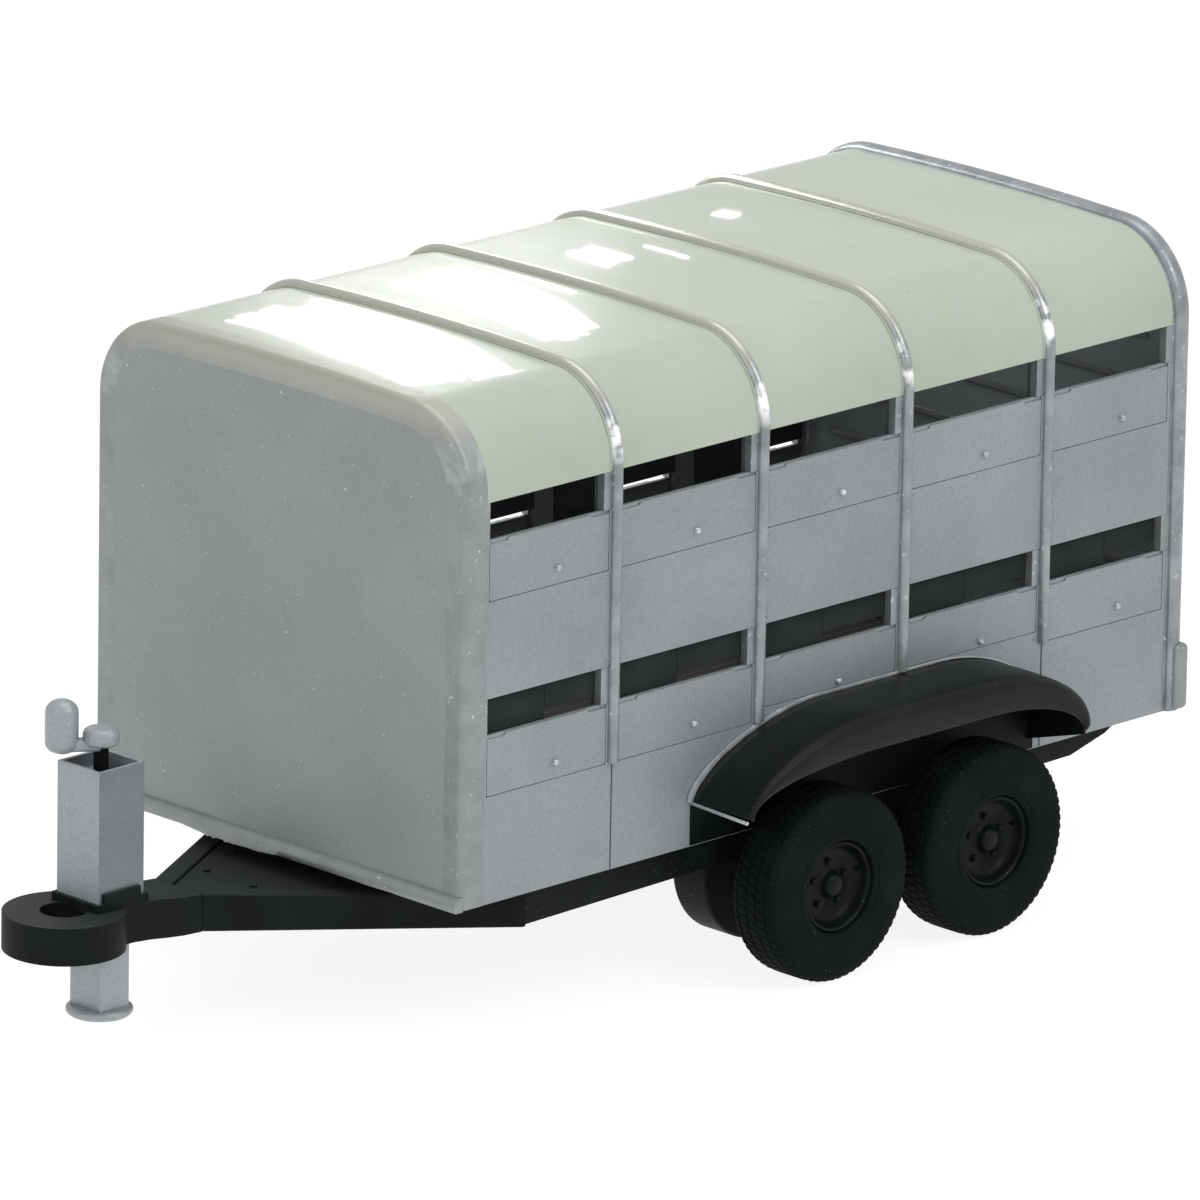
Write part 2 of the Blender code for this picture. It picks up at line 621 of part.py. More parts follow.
# ---------------------------------------------------------------- running gear
def mudguard(side, sign):
    """A pressed sheet over both wheels: an inner wall, a crowned top and an outer skirt."""
    columns = []
    for i in range(10):
        angle = math.pi / 2 * i / 9
        across = math.cos(angle) ** (2 / 1.6)
        rise = math.sin(angle) ** (2 / 1.6)
        low = math.sin(angle) ** 0.8
        columns.append((1.75 - 0.62 * across, GUARD_BASE + 0.262 * rise,
                        1.75 - 0.60 * across, GUARD_BASE - 0.010 + 0.140 * low))
    for y in (1.90, 2.05, 2.20):
        columns.append((y, GUARD_TOP, y, 0.300))
    for i in range(10):
        angle = math.pi / 2 * (9 - i) / 9
        across = math.cos(angle)
        rise = math.sin(angle)
        columns.append((2.35 + 0.54 * across, GUARD_BASE + 0.262 * rise,
                        2.35 + 0.50 * across, GUARD_BASE - 0.025 + 0.155 * rise))
    points = []
    for y, z, low_y, low_z in columns:
        skirt = Vector((low_y - y, low_z - z))
        points.append((sign * (HALF_WIDTH + GAP), y, 0.004))
        points.append((sign * (HALF_WIDTH + GAP), y, z))
        points.append((sign * 1.06, y, z + 0.003))
        points.append((sign * 1.18, y, z + 0.001))
        points.append((sign * (GUARD_OUTER - 0.022), y + 0.06 * skirt[0], z + 0.06 * skirt[1]))
        points.append((sign * (GUARD_OUTER - 0.004), y + 0.24 * skirt[0], z + 0.24 * skirt[1]))
        points.append((sign * GUARD_OUTER, low_y, low_z))
    width = 7
    faces = []
    for i in range(len(columns) - 1):
        for j in range(width - 1):
            a = i * width + j
            faces.append([a, a + 1, a + width + 1, a + width])
    sheet = add_mesh(f"mudguard_{side}", points, faces, "frame_black", smooth=True)
    turn_upwards(sheet)
    shell = sheet.modifiers.new("sheet", 'SOLIDIFY')
    shell.thickness = 0.008
    shell.offset = -1
    shell.use_even_offset = False


def turn_upwards(sheet):
    """Make an open sheet's faces point up and out."""
    work = bmesh.new()
    work.from_mesh(sheet.data)
    if sum(face.normal.z * face.calc_area() for face in work.faces) < 0:
        bmesh.ops.reverse_faces(work, faces=work.faces)
    work.to_mesh(sheet.data)
    work.free()


def suspension(side, sign):
    """A rounded hanger box on each side, open inboard, that carries both axles."""
    top = RAIL_BOTTOM - 0.0005
    rise = math.asin((top - AXLE_Z) / HANGER_RADIUS)
    outline = []
    for i in range(9):
        angle = math.pi - rise + (math.pi / 2 + rise) * i / 8
        outline.append((AXLE_FRONT_Y + HANGER_RADIUS * math.cos(angle),
                        AXLE_Z + HANGER_RADIUS * math.sin(angle)))
    for i in range(9):
        angle = -math.pi / 2 + (math.pi / 2 + rise) * i / 8
        outline.append((AXLE_REAR_Y + HANGER_RADIUS * math.cos(angle),
                        AXLE_Z + HANGER_RADIUS * math.sin(angle)))
    span = sorted((sign * HANGER_INNER, sign * HANGER_OUTER))
    hanger = prism(f"suspension_{side}", outline, "X", span[0], span[1], "frame_black", smooth=True)
    pocket_span = sorted((sign * (HANGER_INNER - 0.07), sign * (HANGER_OUTER - 0.015)))
    pocket_half, middle_half, pocket_top = 0.19, 0.18, top - 0.012
    pockets = []
    middle = (AXLE_FRONT_Y + AXLE_REAR_Y) / 2
    for y, half in ((AXLE_FRONT_Y, pocket_half), (middle, middle_half), (AXLE_REAR_Y, pocket_half)):
        pockets.append(box("pocket", pocket_span, (y - half, y + half), (AXLE_Z - 0.19, pocket_top),
                           "frame_black"))
    combine(hanger, pockets, 'DIFFERENCE')
    hole_span = sorted((sign * (HANGER_INNER - 0.1), sign * (HANGER_OUTER + 0.1)))
    holes = []
    for y in (AXLE_FRONT_Y, AXLE_REAR_Y):
        holes.append(prism("hole", disc((y, AXLE_Z), AXLE_RADIUS + 0.0015, 20), "X",
                           hole_span[0], hole_span[1], "frame_black"))
    combine(hanger, holes, 'DIFFERENCE')


def axle(name, y):
    """A round axle with a backing plate inboard of each wheel and a stub beyond it."""
    end = TYRE_OUTER_FACE - 0.1005
    plate_radius, plate_inner, plate_outer = 0.135, 0.985, 1.018
    half = [(AXLE_RADIUS, plate_inner), (plate_radius, plate_inner), (plate_radius, plate_outer),
            (AXLE_RADIUS, plate_outer), (AXLE_RADIUS, end), (0, end)]
    mirrored = [(r, -h) for r, h in half[::-1]]
    lathe(name, mirrored + half, "X", (0, y, AXLE_Z), "frame_black", 16)


def wheel(place, side, sign, y):
    inner = TYRE_OUTER_FACE - TYRE_WIDTH
    outer = TYRE_OUTER_FACE
    bore = RIM_RADIUS + GAP
    tread = TYRE_RADIUS / math.cos(math.pi / WHEEL_SIDES)
    tyre_profile = [(bore, inner + 0.012), (0.215, inner), (0.310, inner + 0.005),
                    (tread, inner + 0.038), (tread, outer - 0.038), (0.310, outer - 0.005),
                    (0.215, outer), (bore, outer - 0.012)]
    rim_profile = [(0, outer - 0.024), (0.040, outer - 0.032), (0.050, outer - 0.062),
                   (0.100, outer - 0.074), (0.142, outer - 0.056), (0.154, outer - 0.018),
                   (RIM_RADIUS, outer - 0.018), (RIM_RADIUS, inner + 0.016), (0.156, inner + 0.016),
                   (0.150, outer - 0.082), (0.060, outer - 0.094), (0.060, outer - 0.158),
                   (0.034, outer - 0.158), (0.034, outer - 0.098), (0, outer - 0.098)]
    if sign < 0:
        tyre_profile = [(r, -h) for r, h in tyre_profile]
        rim_profile = [(r, -h) for r, h in rim_profile]
    centre = (0, y, AXLE_Z)
    tyre = lathe(f"tyre_{place}_{side}", tyre_profile, "X", centre, "tyre_rubber", WHEEL_SIDES)
    rim = lathe(f"rim_{place}_{side}", rim_profile, "X", centre, "rim_black", WHEEL_SIDES)
    for made in (tyre, rim):
        set_origin(made, (sign * (inner + outer) / 2, y, AXLE_Z))


# ---------------------------------------------------------------- build everything
clear_scene()
front_wall()
for number in range(1, BAYS):
    rib_hoop(number)
rear_portal()
roof_skin()
side_panels()
vent_flaps()
rear_ramp()
chassis()
drawbar()
prop_stand()
for side_name, side_sign in sides():
    mudguard(side_name, side_sign)
    suspension(side_name, side_sign)
for axle_name, axle_y in (("front", AXLE_FRONT_Y), ("rear", AXLE_REAR_Y)):
    axle(f"axle_{axle_name}", axle_y)
    for side_name, side_sign in sides():
        wheel(axle_name, side_name, side_sign, axle_y)
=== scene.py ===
"""The looks of a twin-axle livestock trailer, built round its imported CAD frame.

Metres, +Z up, the drawbar towards -Y, the rear ramp towards +Y, left side at +X.
Places are drawn in the body's own coordinates: X from the middle, Y from the front
wall, Z from the body's lower edge. place() turns them into the frame's coordinates.
A shape is a pair: its points and its faces.
"""

import random
from math import asin, copysign, cos, pi, radians, sin, sqrt

import bmesh
import bpy
from mathutils import Matrix, Vector, noise


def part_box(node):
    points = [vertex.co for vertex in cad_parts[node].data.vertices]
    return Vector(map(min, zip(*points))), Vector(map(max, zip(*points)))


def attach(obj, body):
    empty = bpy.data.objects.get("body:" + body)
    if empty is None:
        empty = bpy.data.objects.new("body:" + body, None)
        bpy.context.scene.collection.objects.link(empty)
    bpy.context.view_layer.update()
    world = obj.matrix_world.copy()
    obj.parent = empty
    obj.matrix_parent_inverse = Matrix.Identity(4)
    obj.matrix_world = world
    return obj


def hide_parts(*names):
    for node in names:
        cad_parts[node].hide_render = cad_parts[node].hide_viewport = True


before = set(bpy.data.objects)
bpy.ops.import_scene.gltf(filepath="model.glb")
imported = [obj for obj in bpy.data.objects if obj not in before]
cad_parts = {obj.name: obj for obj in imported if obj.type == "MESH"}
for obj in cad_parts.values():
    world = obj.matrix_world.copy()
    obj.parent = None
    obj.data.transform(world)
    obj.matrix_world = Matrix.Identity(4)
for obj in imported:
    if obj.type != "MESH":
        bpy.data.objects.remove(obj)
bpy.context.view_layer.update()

# ---------------------------------------------------------------- driving dimensions
FRONT_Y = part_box("front_hoop")[0].y
BOTTOM_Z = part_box("side_lower_left")[0].z
ORIGIN = Vector((0.0, FRONT_Y, BOTTOM_Z))

HALF_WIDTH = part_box("roof_skin")[1].x
ROOF_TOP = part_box("roof_skin")[1].z - BOTTOM_Z
PORTAL_DEPTH = 0.0803
BODY_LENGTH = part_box("side_lower_left")[1].y - FRONT_Y + PORTAL_DEPTH
CAMBER = 0.013
SHOULDER_TOP = ROOF_TOP - CAMBER
SHOULDER_RADIUS = 0.31
FLAT_HALF = HALF_WIDTH - SHOULDER_RADIUS
BAYS = 5
BAY = BODY_LENGTH / BAYS
SKIN = 0.025
ROOF_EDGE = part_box("roof_skin")[0].z - BOTTOM_Z
SILL_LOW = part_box("side_lower_left")[1].z - BOTTOM_Z
SLOT_LOW_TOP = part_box("side_middle_left")[0].z - BOTTOM_Z
SILL_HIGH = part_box("side_middle_left")[1].z - BOTTOM_Z
FRONT_EDGE = 0.030
FRAME_BAND = 0.098
BEAD_WIDTH = 0.045
BEAD_HEIGHT = 0.025
POST_FRONT = 0.058
POST_REAR = 0.036

SIDES = (("left", 1), ("right", -1))
AXLES = tuple((name, 0.5 * sum(end.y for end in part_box(f"tyre_{name}_left")) - FRONT_Y)
              for name in ("front", "rear"))
TYRE_RADIUS = 0.355
TYRE_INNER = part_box("tyre_front_left")[0].x
TYRE_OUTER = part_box("tyre_front_left")[1].x
TYRE_MIDDLE = (TYRE_INNER + TYRE_OUTER) / 2
AXLE_Z = TYRE_RADIUS - BOTTOM_Z
RIM_RADIUS = 0.170

GUARD_FRONT, GUARD_CREST_FRONT, GUARD_CREST_REAR, GUARD_REAR = 1.13, 1.75, 2.35, 2.89
GUARD_TOP = 0.432
GUARD_BASE = 0.170
GUARD_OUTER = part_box("mudguard_left")[1].x

RING_RADIUS = 0.22
RING_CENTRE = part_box("coupling_ring")[0].y - FRONT_Y + RING_RADIUS
RING_HOLE = 0.0855
RING_TOP = -0.0018
RING_BOTTOM = -0.1408
NECK_END = -0.4698
STAND_Y = 0.5 * sum(end.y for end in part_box("stand_sleeve")) - FRONT_Y
RAMP_AXIS_Y = BODY_LENGTH + 0.008
RAMP_AXIS_Z = 0.022

VIEW_AZIMUTH, VIEW_ELEVATION, VIEW_ROLL = (radians(a) for a in (45.09, 16.76, 0.986))

# Roof reflections, each a group of level strip lights: the mirrored place on the roof,
# width along X, length along Y, turn in degrees and number of strips
ROOF_GLINTS = ((-0.08, 0.47, 2.45, 0.46, -23, 5), (-0.16, 1.23, 2.05, 0.27, -25, 4),
               (-0.38, 1.58, 1.00, 0.035, -24, 1), (-0.58, 2.13, 0.50, 0.12, -22, 3),
               (-0.30, 2.22, 0.50, 0.022, -22, 1), (-0.82, 3.05, 0.22, 0.05, -20, 1))
GLINT_POWER = 50.0
GLINT_DISTANCE = 3.0

random.seed(7)


# ---------------------------------------------------------------- materials
BLACK, WHITE = (0, 0, 0), (1, 1, 1)


def scaled(colour, factor, extra=0.0):
    return tuple(min(1.0, c * factor + extra) for c in colour)


class Surface:
    """A Principled material, with short ways to add texture nodes to it."""

    def __init__(self, name):
        self.made = bpy.data.materials.new(name)
        self.made.use_nodes = True
        self.nodes = self.made.node_tree.nodes
        self.shader = self.nodes["Principled BSDF"]

    def feed(self, socket, value):
        """Give a socket another node's output, a colour or a number."""
        if isinstance(value, bpy.types.NodeSocket):
            self.made.node_tree.links.new(value, socket)
        else:
            socket.default_value = (*value, 1) if socket.type == 'RGBA' else value

    def node(self, kind, **inputs):
        made = self.nodes.new(kind)
        for name, value in inputs.items():
            self.feed(made.inputs[name.replace("_", " ")], value)
        return made

    def place(self, output="Object"):
        return self.node("ShaderNodeTexCoord").outputs[output]

    def height(self, output="Object"):
        """How high a point is or, from the Normal output, how far its face looks up."""
        return self.node("ShaderNodeSeparateXYZ", Vector=self.place(output)).outputs["Z"]

    def calculate(self, operation, first, second):
        made = self.nodes.new("ShaderNodeMath")
        made.operation = operation
        self.feed(made.inputs[0], first)
        self.feed(made.inputs[1], second)
        return made.outputs[0]

    def between(self, source, low, high, start=0.0, end=1.0):
        """The source's start to end stretched to low to high."""
        return self.node("ShaderNodeMapRange", Value=source, From_Min=start, From_Max=end,
                         To_Min=low, To_Max=high).outputs["Result"]

    def spots(self, scale, size, share):
        """Small scattered spots: 1 on a spot, 0 elsewhere."""
        cells = self.node("ShaderNodeTexVoronoi", Vector=self.place(), Scale=scale)
        pick = self.node("ShaderNodeSeparateColor", Color=cells.outputs["Color"])
        return self.calculate('MULTIPLY', self.calculate('LESS_THAN', cells.outputs["Distance"], size),
                              self.calculate('LESS_THAN', pick.outputs[0], share))

    def cloud(self, scale, detail, low=0.3, high=0.7, first=BLACK, second=WHITE, at=None):
        """Noise pushed through a two-colour ramp, and the plain noise."""
        cloud = self.node("ShaderNodeTexNoise", Vector=at or self.place(), Scale=scale, Detail=detail)
        ramp = self.node("ShaderNodeValToRGB", Fac=cloud.outputs["Fac"])
        for stop, position, colour in zip(ramp.color_ramp.elements, (low, high), (first, second)):
            stop.position = position
            stop.color = (*colour, 1)
        return ramp.outputs["Color"], cloud.outputs["Fac"]

    def mix(self, factor, first, second, blend='MIX'):
        made = self.nodes.new("ShaderNodeMix")
        made.data_type = 'RGBA'
        made.blend_type = blend
        for socket, value in ((made.inputs["Factor"], factor), (made.inputs[6], first),
                              (made.inputs[7], second)):
            self.feed(socket, value)
        return made.outputs[2]

    def bumps(self, *layers):
        """Chain bump layers: (height, strength, distance in metres)."""
        last = None
        for height, strength, distance in layers:
            bump = self.node("ShaderNodeBump", Height=height, Strength=strength, Distance=distance)
            if last is not None:
                self.feed(bump.inputs["Normal"], last)
            last = bump.outputs["Normal"]
        self.feed(self.shader.inputs["Normal"], last)

    def settings(self, **inputs):
        for name, value in inputs.items():
            self.feed(self.shader.inputs[name.replace("_", " ")], value)
        return self.made


def silver(name, dark, light, roughness, metallic, glint_amount):
    """Metallic paint: cloudy tone, fine grain and a few soft bright specks, which are painted glints."""
    skin = Surface(name)
    tone, _ = skin.cloud(1.7, 4, 0.34, 0.68, dark, light)
    grain, grain_height = skin.cloud(85, 5, 0.30, 0.70, (0.91, 0.91, 0.91), (1.09, 1.09, 1.09))
    toned = skin.mix(1.0, tone, grain, 'MULTIPLY')
    # The two bright spot layers are painted glints, sized by glint_amount; the dark one is fleck tone.
    for scale, size, share, colour in ((70, 0.24, 0.022 * glint_amount, scaled(light, 1.55)),
                                       (24, 0.11, 0.07 * glint_amount, scaled(light, 1.8)),
                                       (31, 0.11, 0.03, scaled(dark, 0.75))):
        toned = skin.mix(skin.spots(scale, size, share), toned, colour)
    _, blotch = skin.cloud(9, 4)
    skin.bumps((grain_height, 0.15, 0.0012), (blotch, 0.10, 0.004))
    rough = skin.between(blotch, roughness - 0.07, roughness + 0.10)
    return skin.settings(Base_Color=toned, Roughness=rough, Metallic=metallic)


def bright_metal(name, dark, light, roughness, glint_amount, shoulder_highlight=None, top=None):
    """Plated metal with an uneven, slightly lumpy skin.

    With shoulder_highlight and top it gets a painted highlight in a band at the body's shoulder and takes the
    roof's colour over the top.
    """
    skin = Surface(name)
    tone, _ = skin.cloud(12, 6, 0.34, 0.68, dark, light)
    _, lumps = skin.cloud(30, 4)
    # Painted glints: bright specks mixed into the colour, fewer where glint_amount is low.
    painted_glints, _ = skin.cloud(46, 5, 0.66 - 0.04 * glint_amount, 0.74)
    toned = skin.mix(painted_glints, tone, scaled(light, 1.75))
    if shoulder_highlight:
        def band(low, high):
            level = BOTTOM_Z + ROOF_TOP
            return skin.between(skin.height(), 0, 1, level + low, level + high)

        # Painted highlight: a band at the shoulder, broken up by noise, lightened towards the
        # shoulder_highlight colour.
        highlight_band = skin.calculate('MULTIPLY', band(-0.33, -0.26), band(-0.12, -0.20))
        highlight_breakup, _ = skin.cloud(13, 5, 0.44, 0.56)
        toned = skin.mix(skin.mix(1.0, highlight_breakup, highlight_band, 'MULTIPLY'), toned, shoulder_highlight)
        toned = skin.mix(band(-0.15, -0.05), toned, top)
    skin.bumps((lumps, 0.40, 0.004))
    rough = skin.between(lumps, roughness - 0.10, roughness + 0.14)
    return skin.settings(Base_Color=toned, Roughness=rough, Metallic=0.55)


def roof_gloss(name, dark, light):
    """A glossy moulded shell with slow ripples that break up its reflections."""
    skin = Surface(name)
    tone, _ = skin.cloud(1.3, 3, 0.35, 0.70, dark, light)
    dust_and_top_light, _ = skin.cloud(7, 6, 0.52, 0.80, WHITE, (0.95, 0.95, 0.94))
    toned = skin.mix(1.0, tone, dust_and_top_light, 'MULTIPLY')
    toned = skin.mix(skin.spots(8, 0.04, 0.25), toned, scaled(dark, 0.75))
    stretched = skin.node("ShaderNodeMapping", Vector=skin.place(), Scale=(1.3, 9.0, 3.0)).outputs[0]
    _, ripple = skin.cloud(1.0, 2, at=stretched)
    _, fine = skin.cloud(4.5, 4, at=stretched)
    skin.bumps((ripple, 0.20, 0.010), (fine, 0.15, 0.0050))
    return skin.settings(Base_Color=toned, Roughness=skin.between(ripple, 0.30, 0.40),
                         Specular_IOR_Level=0.12, Coat_Weight=0.60, Coat_Roughness=0.03)


def black_paint(name, colour, roughness, specular, grain, spread=1.9, dust_and_top_light=None):
    """Satin black with scuffed patches and, where dust_and_top_light is given, painted top light: a lighter
    colour on faces that look up.
    """
    skin = Surface(name)
    toned, cloud = skin.cloud(5.5, 6, 0.40, 0.78, colour, scaled(colour, spread, 0.002))
    toned = skin.mix(skin.spots(70, 0.14, 0.03), toned, (0.10, 0.11, 0.11))
    if dust_and_top_light:
        # Painted top light: faces that look up are lighter.
        toned = skin.mix(skin.between(skin.height("Normal"), 0, 1, 0.35, 0.95), toned, dust_and_top_light)
    _, fine = skin.cloud(grain, 3)
    skin.bumps((fine, 0.25, 0.0012), (cloud, 0.08, 0.004))
    rough = skin.between(cloud, roughness - 0.08, roughness + 0.12)
    return skin.settings(Base_Color=toned, Roughness=rough, Specular_IOR_Level=specular)


def deck_surface(name):
    """Dark faced ply with a raised anti-slip pattern and scuffs."""
    skin = Surface(name)
    tone, cloud = skin.cloud(3, 7, 0.35, 0.75, (0.090, 0.084, 0.074), (0.155, 0.148, 0.136))
    studs = skin.node("ShaderNodeTexVoronoi", Vector=skin.place(), Scale=60)
    skin.bumps((studs.outputs["Distance"], 0.5, 0.002), (cloud, 0.15, 0.003))
    return skin.settings(Base_Color=tone, Roughness=skin.between(cloud, 0.55, 0.80))


MATERIALS = {
    "body_alloy": silver("body_paint", (0.222, 0.243, 0.254), (0.258, 0.279, 0.290), 0.50, 0.25, 1.0),
    "front_alloy": silver("front_paint", (0.222, 0.250, 0.248), (0.250, 0.274, 0.276), 0.52, 0.22, 0.7),
    "hoop_bright": bright_metal("hoop_metal", (0.215, 0.228, 0.240), (0.310, 0.325, 0.340), 0.34, 0.7),
    # The shoulder_highlight colours in these two materials are painted highlights at the body's shoulder.
    "rib_bright": bright_metal("rib_metal", (0.225, 0.238, 0.245), (0.320, 0.332, 0.340), 0.30, 0.7,
                               shoulder_highlight=(0.95, 0.96, 0.97), top=(0.410, 0.420, 0.365)),
    # A brighter copy of the plated metal: real trim, its extra brightness a painted highlight.
    "bright_trim_painted_highlight": bright_metal("trim_metal_painted_highlight", (0.360, 0.380, 0.395), (0.560, 0.580, 0.600), 0.36, 1.6),
    "corner_bright": bright_metal("corner_metal", (0.238, 0.252, 0.252), (0.280, 0.296, 0.298), 0.46, -0.2,
                                  shoulder_highlight=(0.34, 0.35, 0.36), top=(0.350, 0.355, 0.315)),
    "seam_shadow": black_paint("seam_paint", (0.050, 0.056, 0.058), 0.70, 0.10, 90),
    "roof_shell": roof_gloss("roof_gloss", (0.345, 0.380, 0.312), (0.372, 0.402, 0.342)),
    # The frame paint's dust_and_top_light colour is painted top light on its upward faces.
    "frame_black": black_paint("frame_paint", (0.0026, 0.0040, 0.0042), 0.52, 0.12, 150,
                               dust_and_top_light=(0.026, 0.029, 0.030)),
    "guard_black": black_paint("guard_paint", (0.0030, 0.0042, 0.0044), 0.38, 0.16, 220),
    "tyre_rubber": black_paint("tyre_rubber_black", (0.0022, 0.0036, 0.0040), 0.74, 0.08, 320),
    "rim_black": black_paint("rim_paint", (0.0014, 0.0026, 0.0030), 0.40, 0.12, 200),
    "stand_zinc": silver("stand_zinc_plate", (0.262, 0.280, 0.292), (0.316, 0.336, 0.350), 0.42, 0.30, 1.2),
    # A darker copy of the zinc: painted shade for the stand tube's shaded face.
    "stand_zinc_shaded_side": silver("stand_zinc_painted_shade", (0.150, 0.162, 0.174), (0.190, 0.204, 0.216), 0.50, 0.30, 1.0),
    # Near black: painted shade for the shadowed hollow at the stand sleeve's top.
    "hollow_painted_shade": black_paint("sleeve_hollow_shade_paint", (0.004, 0.0045, 0.0045), 0.80, 0.10, 90),
    # Dark sheets inside the walls: painted shade for the body's inside, seen through the slots.
    "inner_wall_shade": black_paint("inner_wall_shade_paint", (0.078, 0.086, 0.086), 0.75, 0.12, 60, spread=1.25),
    # Darker than the frame paint: painted shade inside the lower slots.
    "rail_painted_shade": black_paint("rail_shade_paint", (0.020, 0.023, 0.023), 0.80, 0.06, 60, spread=1.3),
    "deck_alloy": deck_surface("deck_ply"),
}


# ---------------------------------------------------------------- mesh helpers
def added(name, data):
    made = bpy.data.objects.new(name, data)
    bpy.context.scene.collection.objects.link(made)
    return made


def place(x, y, z):
    return Vector((x, y, z)) + ORIGIN


def mesh_of(name, shape):
    mesh = bpy.data.meshes.new(name)
    mesh.from_pydata([Vector(p) + ORIGIN for p in shape[0]], [], shape[1])
    return mesh


def edited(mesh, change):
    """Run one bmesh change on a mesh."""
    work = bmesh.new()
    work.from_mesh(mesh)
    change(work)
    work.to_mesh(mesh)
    work.free()


def face_outwards(work):
    bmesh.ops.recalc_face_normals(work, faces=work.faces)


def piece(name, shape, finish, body="trailer", replaces=(), **looks):
    """Make one visible piece from a shape in the body's own coordinates."""
    return dress(mesh_of(name, shape), name, finish, body, replaces, **looks)


def dress(mesh, name, finish, body, replaces=(), sharp=35, bevel=0.0, segments=2, fix_normals=True):
    if fix_normals:
        edited(mesh, face_outwards)
    mesh.shade_smooth()
    mesh.set_sharp_from_angle(angle=radians(sharp))
    made = added(name, mesh)
    mesh.materials.clear()
    mesh.materials.append(MATERIALS[finish])
    if bevel:
        rounding = made.modifiers.new("edges", 'BEVEL')
        rounding.width = bevel
        rounding.segments = segments
        rounding.limit_method = 'ANGLE'
        rounding.angle_limit = radians(32)
        rounding.harden_normals = True
    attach(made, body)
    if replaces:
        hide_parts(*replaces)
    return made


def refined(node, name, finish, body="trailer", bevel=0.003, **looks):
    """The CAD node's own shape with its flat faces joined up and its edges rounded."""
    def join_up(work):
        bmesh.ops.remove_doubles(work, verts=work.verts, dist=0.00005)
        bmesh.ops.dissolve_limit(work, angle_limit=radians(1.0), verts=work.verts, edges=work.edges)

    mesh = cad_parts[node].data.copy()
    edited(mesh, join_up)
    return dress(mesh, name, finish, body, (node,), bevel=bevel, **looks)


def arc(a, b, radius, start, end, steps, tall=None):
    """Points along part of a circle, or of an ellipse where tall is given."""
    tall = radius if tall is None else tall
    angles = [start + (end - start) * i / steps for i in range(steps + 1)]
    return [(round(a + radius * cos(t), 9), round(b + tall * sin(t), 9)) for t in angles]


def sweep(rows):
    """Join closed rows of points, all of one length, and cap both ends."""
    count = len(rows[0])
    faces = [list(range(count)), [(len(rows) - 1) * count + j for j in range(count - 1, -1, -1)]]
    for k in range(len(rows) - 1):
        for j in range(count):
            here, after = k * count, (j + 1) % count
            faces.append([here + j, here + after, here + count + after, here + count + j])
    return [p for row in rows for p in row], faces


def prism(outline, axis, low, high):
    """An outline pulled along an axis; its own two values are the other axes in order."""
    lift = {"X": lambda a, b, level: (level, a, b), "Y": lambda a, b, level: (a, level, b),
            "Z": lambda a, b, level: (a, b, level)}[axis]
    return sweep([[lift(a, b, level) for a, b in outline] for level in (low, high)])


def block(x, y, z):
    return prism([(x[0], y[0]), (x[1], y[0]), (x[1], y[1]), (x[0], y[1])], "Z", z[0], z[1])


def lathe(profile, axis, centre, sides, sign=1):
    """Turn a (radius, height) profile; ends at radius 0 are closed to a point."""
    spots = {"X": lambda a, b, h: (sign * h, a, b), "Y": lambda a, b, h: (a, sign * h, b),
             "Z": lambda a, b, h: (a, b, h)}[axis]
    points, rows, faces = [], [], []
    for radius, height in profile:
        rows.append(len(points))
        for i in range(1 if radius == 0 else sides):
            angle = 2 * pi * i / sides
            offset = spots(radius * cos(angle), radius * sin(angle), height)
            points.append(tuple(c + o for c, o in zip(centre, offset)))
    for k in range(len(profile) - 1):
        closed_here, closed_there = profile[k][0] == 0, profile[k + 1][0] == 0
        for i in range(sides):
            j = (i + 1) % sides
            here = [rows[k]] if closed_here else [rows[k] + i, rows[k] + j]
            there = [rows[k + 1]] if closed_there else [rows[k + 1] + j, rows[k + 1] + i]
            if not (closed_here and closed_there):
                faces.append(here + there)
    return points, faces


def gather(parts):
    """Several closed solids as one shape."""
    points, faces = [], []
    for more_points, more_faces in parts:
        base = len(points)
        points.extend(more_points)
        faces.extend([[base + i for i in face] for face in more_faces])
    return points, faces


def solid(shape):
    """A throwaway object, for joining and cutting."""
    mesh = mesh_of("working_solid", shape)
    edited(mesh, face_outwards)
    return added("working_solid", mesh)


def carved(base, joins, cuts):
    """Join and cut solids, remove the working objects and return the finished mesh."""
    for other, operation in [(o, 'UNION') for o in joins] + [(o, 'DIFFERENCE') for o in cuts]:
        step = base.modifiers.new("carve", 'BOOLEAN')
        step.operation = operation
        step.solver = 'EXACT'
        step.object = other
    bpy.context.view_layer.update()
    evaluated = base.evaluated_get(bpy.context.evaluated_depsgraph_get())
    finished = bpy.data.meshes.new_from_object(evaluated)
    for used in (base, *joins, *cuts):
        bpy.data.objects.remove(used, do_unlink=True)
    finished.materials.clear()
    return finished


def span(sign, inner, outer):
    """The low and high X of something between two distances from the middle."""
    return sorted((sign * inner, sign * outer))


# ---------------------------------------------------------------- shared outlines
def arch(inset, bottom, arc_steps=20, top_steps=20, foot_steps=1):
    """The body's arched outline from its left foot over to its right foot."""
    half = HALF_WIDTH - inset
    radius = SHOULDER_RADIUS - inset
    top = SHOULDER_TOP - inset
    shoulder = top - radius
    left = [(half, bottom + (shoulder - bottom) * i / foot_steps) for i in range(foot_steps)]
    left += arc(FLAT_HALF, shoulder, radius, 0, pi / 2, arc_steps)
    for i in range(1, top_steps // 2 + 1):
        across = 1 - 2 * i / top_steps
        left.append((FLAT_HALF * across, top + CAMBER * (1 - across ** 2)))
    return left + [(-x, z) for x, z in left[-2::-1]]


def arch_band(section, bottom, foot_steps=1):
    """Sweep a closed (inset, y) section along the arched outline."""
    lines = [[(x, y, z) for x, z in arch(inset, bottom, foot_steps=foot_steps)] for inset, y in section]
    return sweep(list(zip(*lines)))


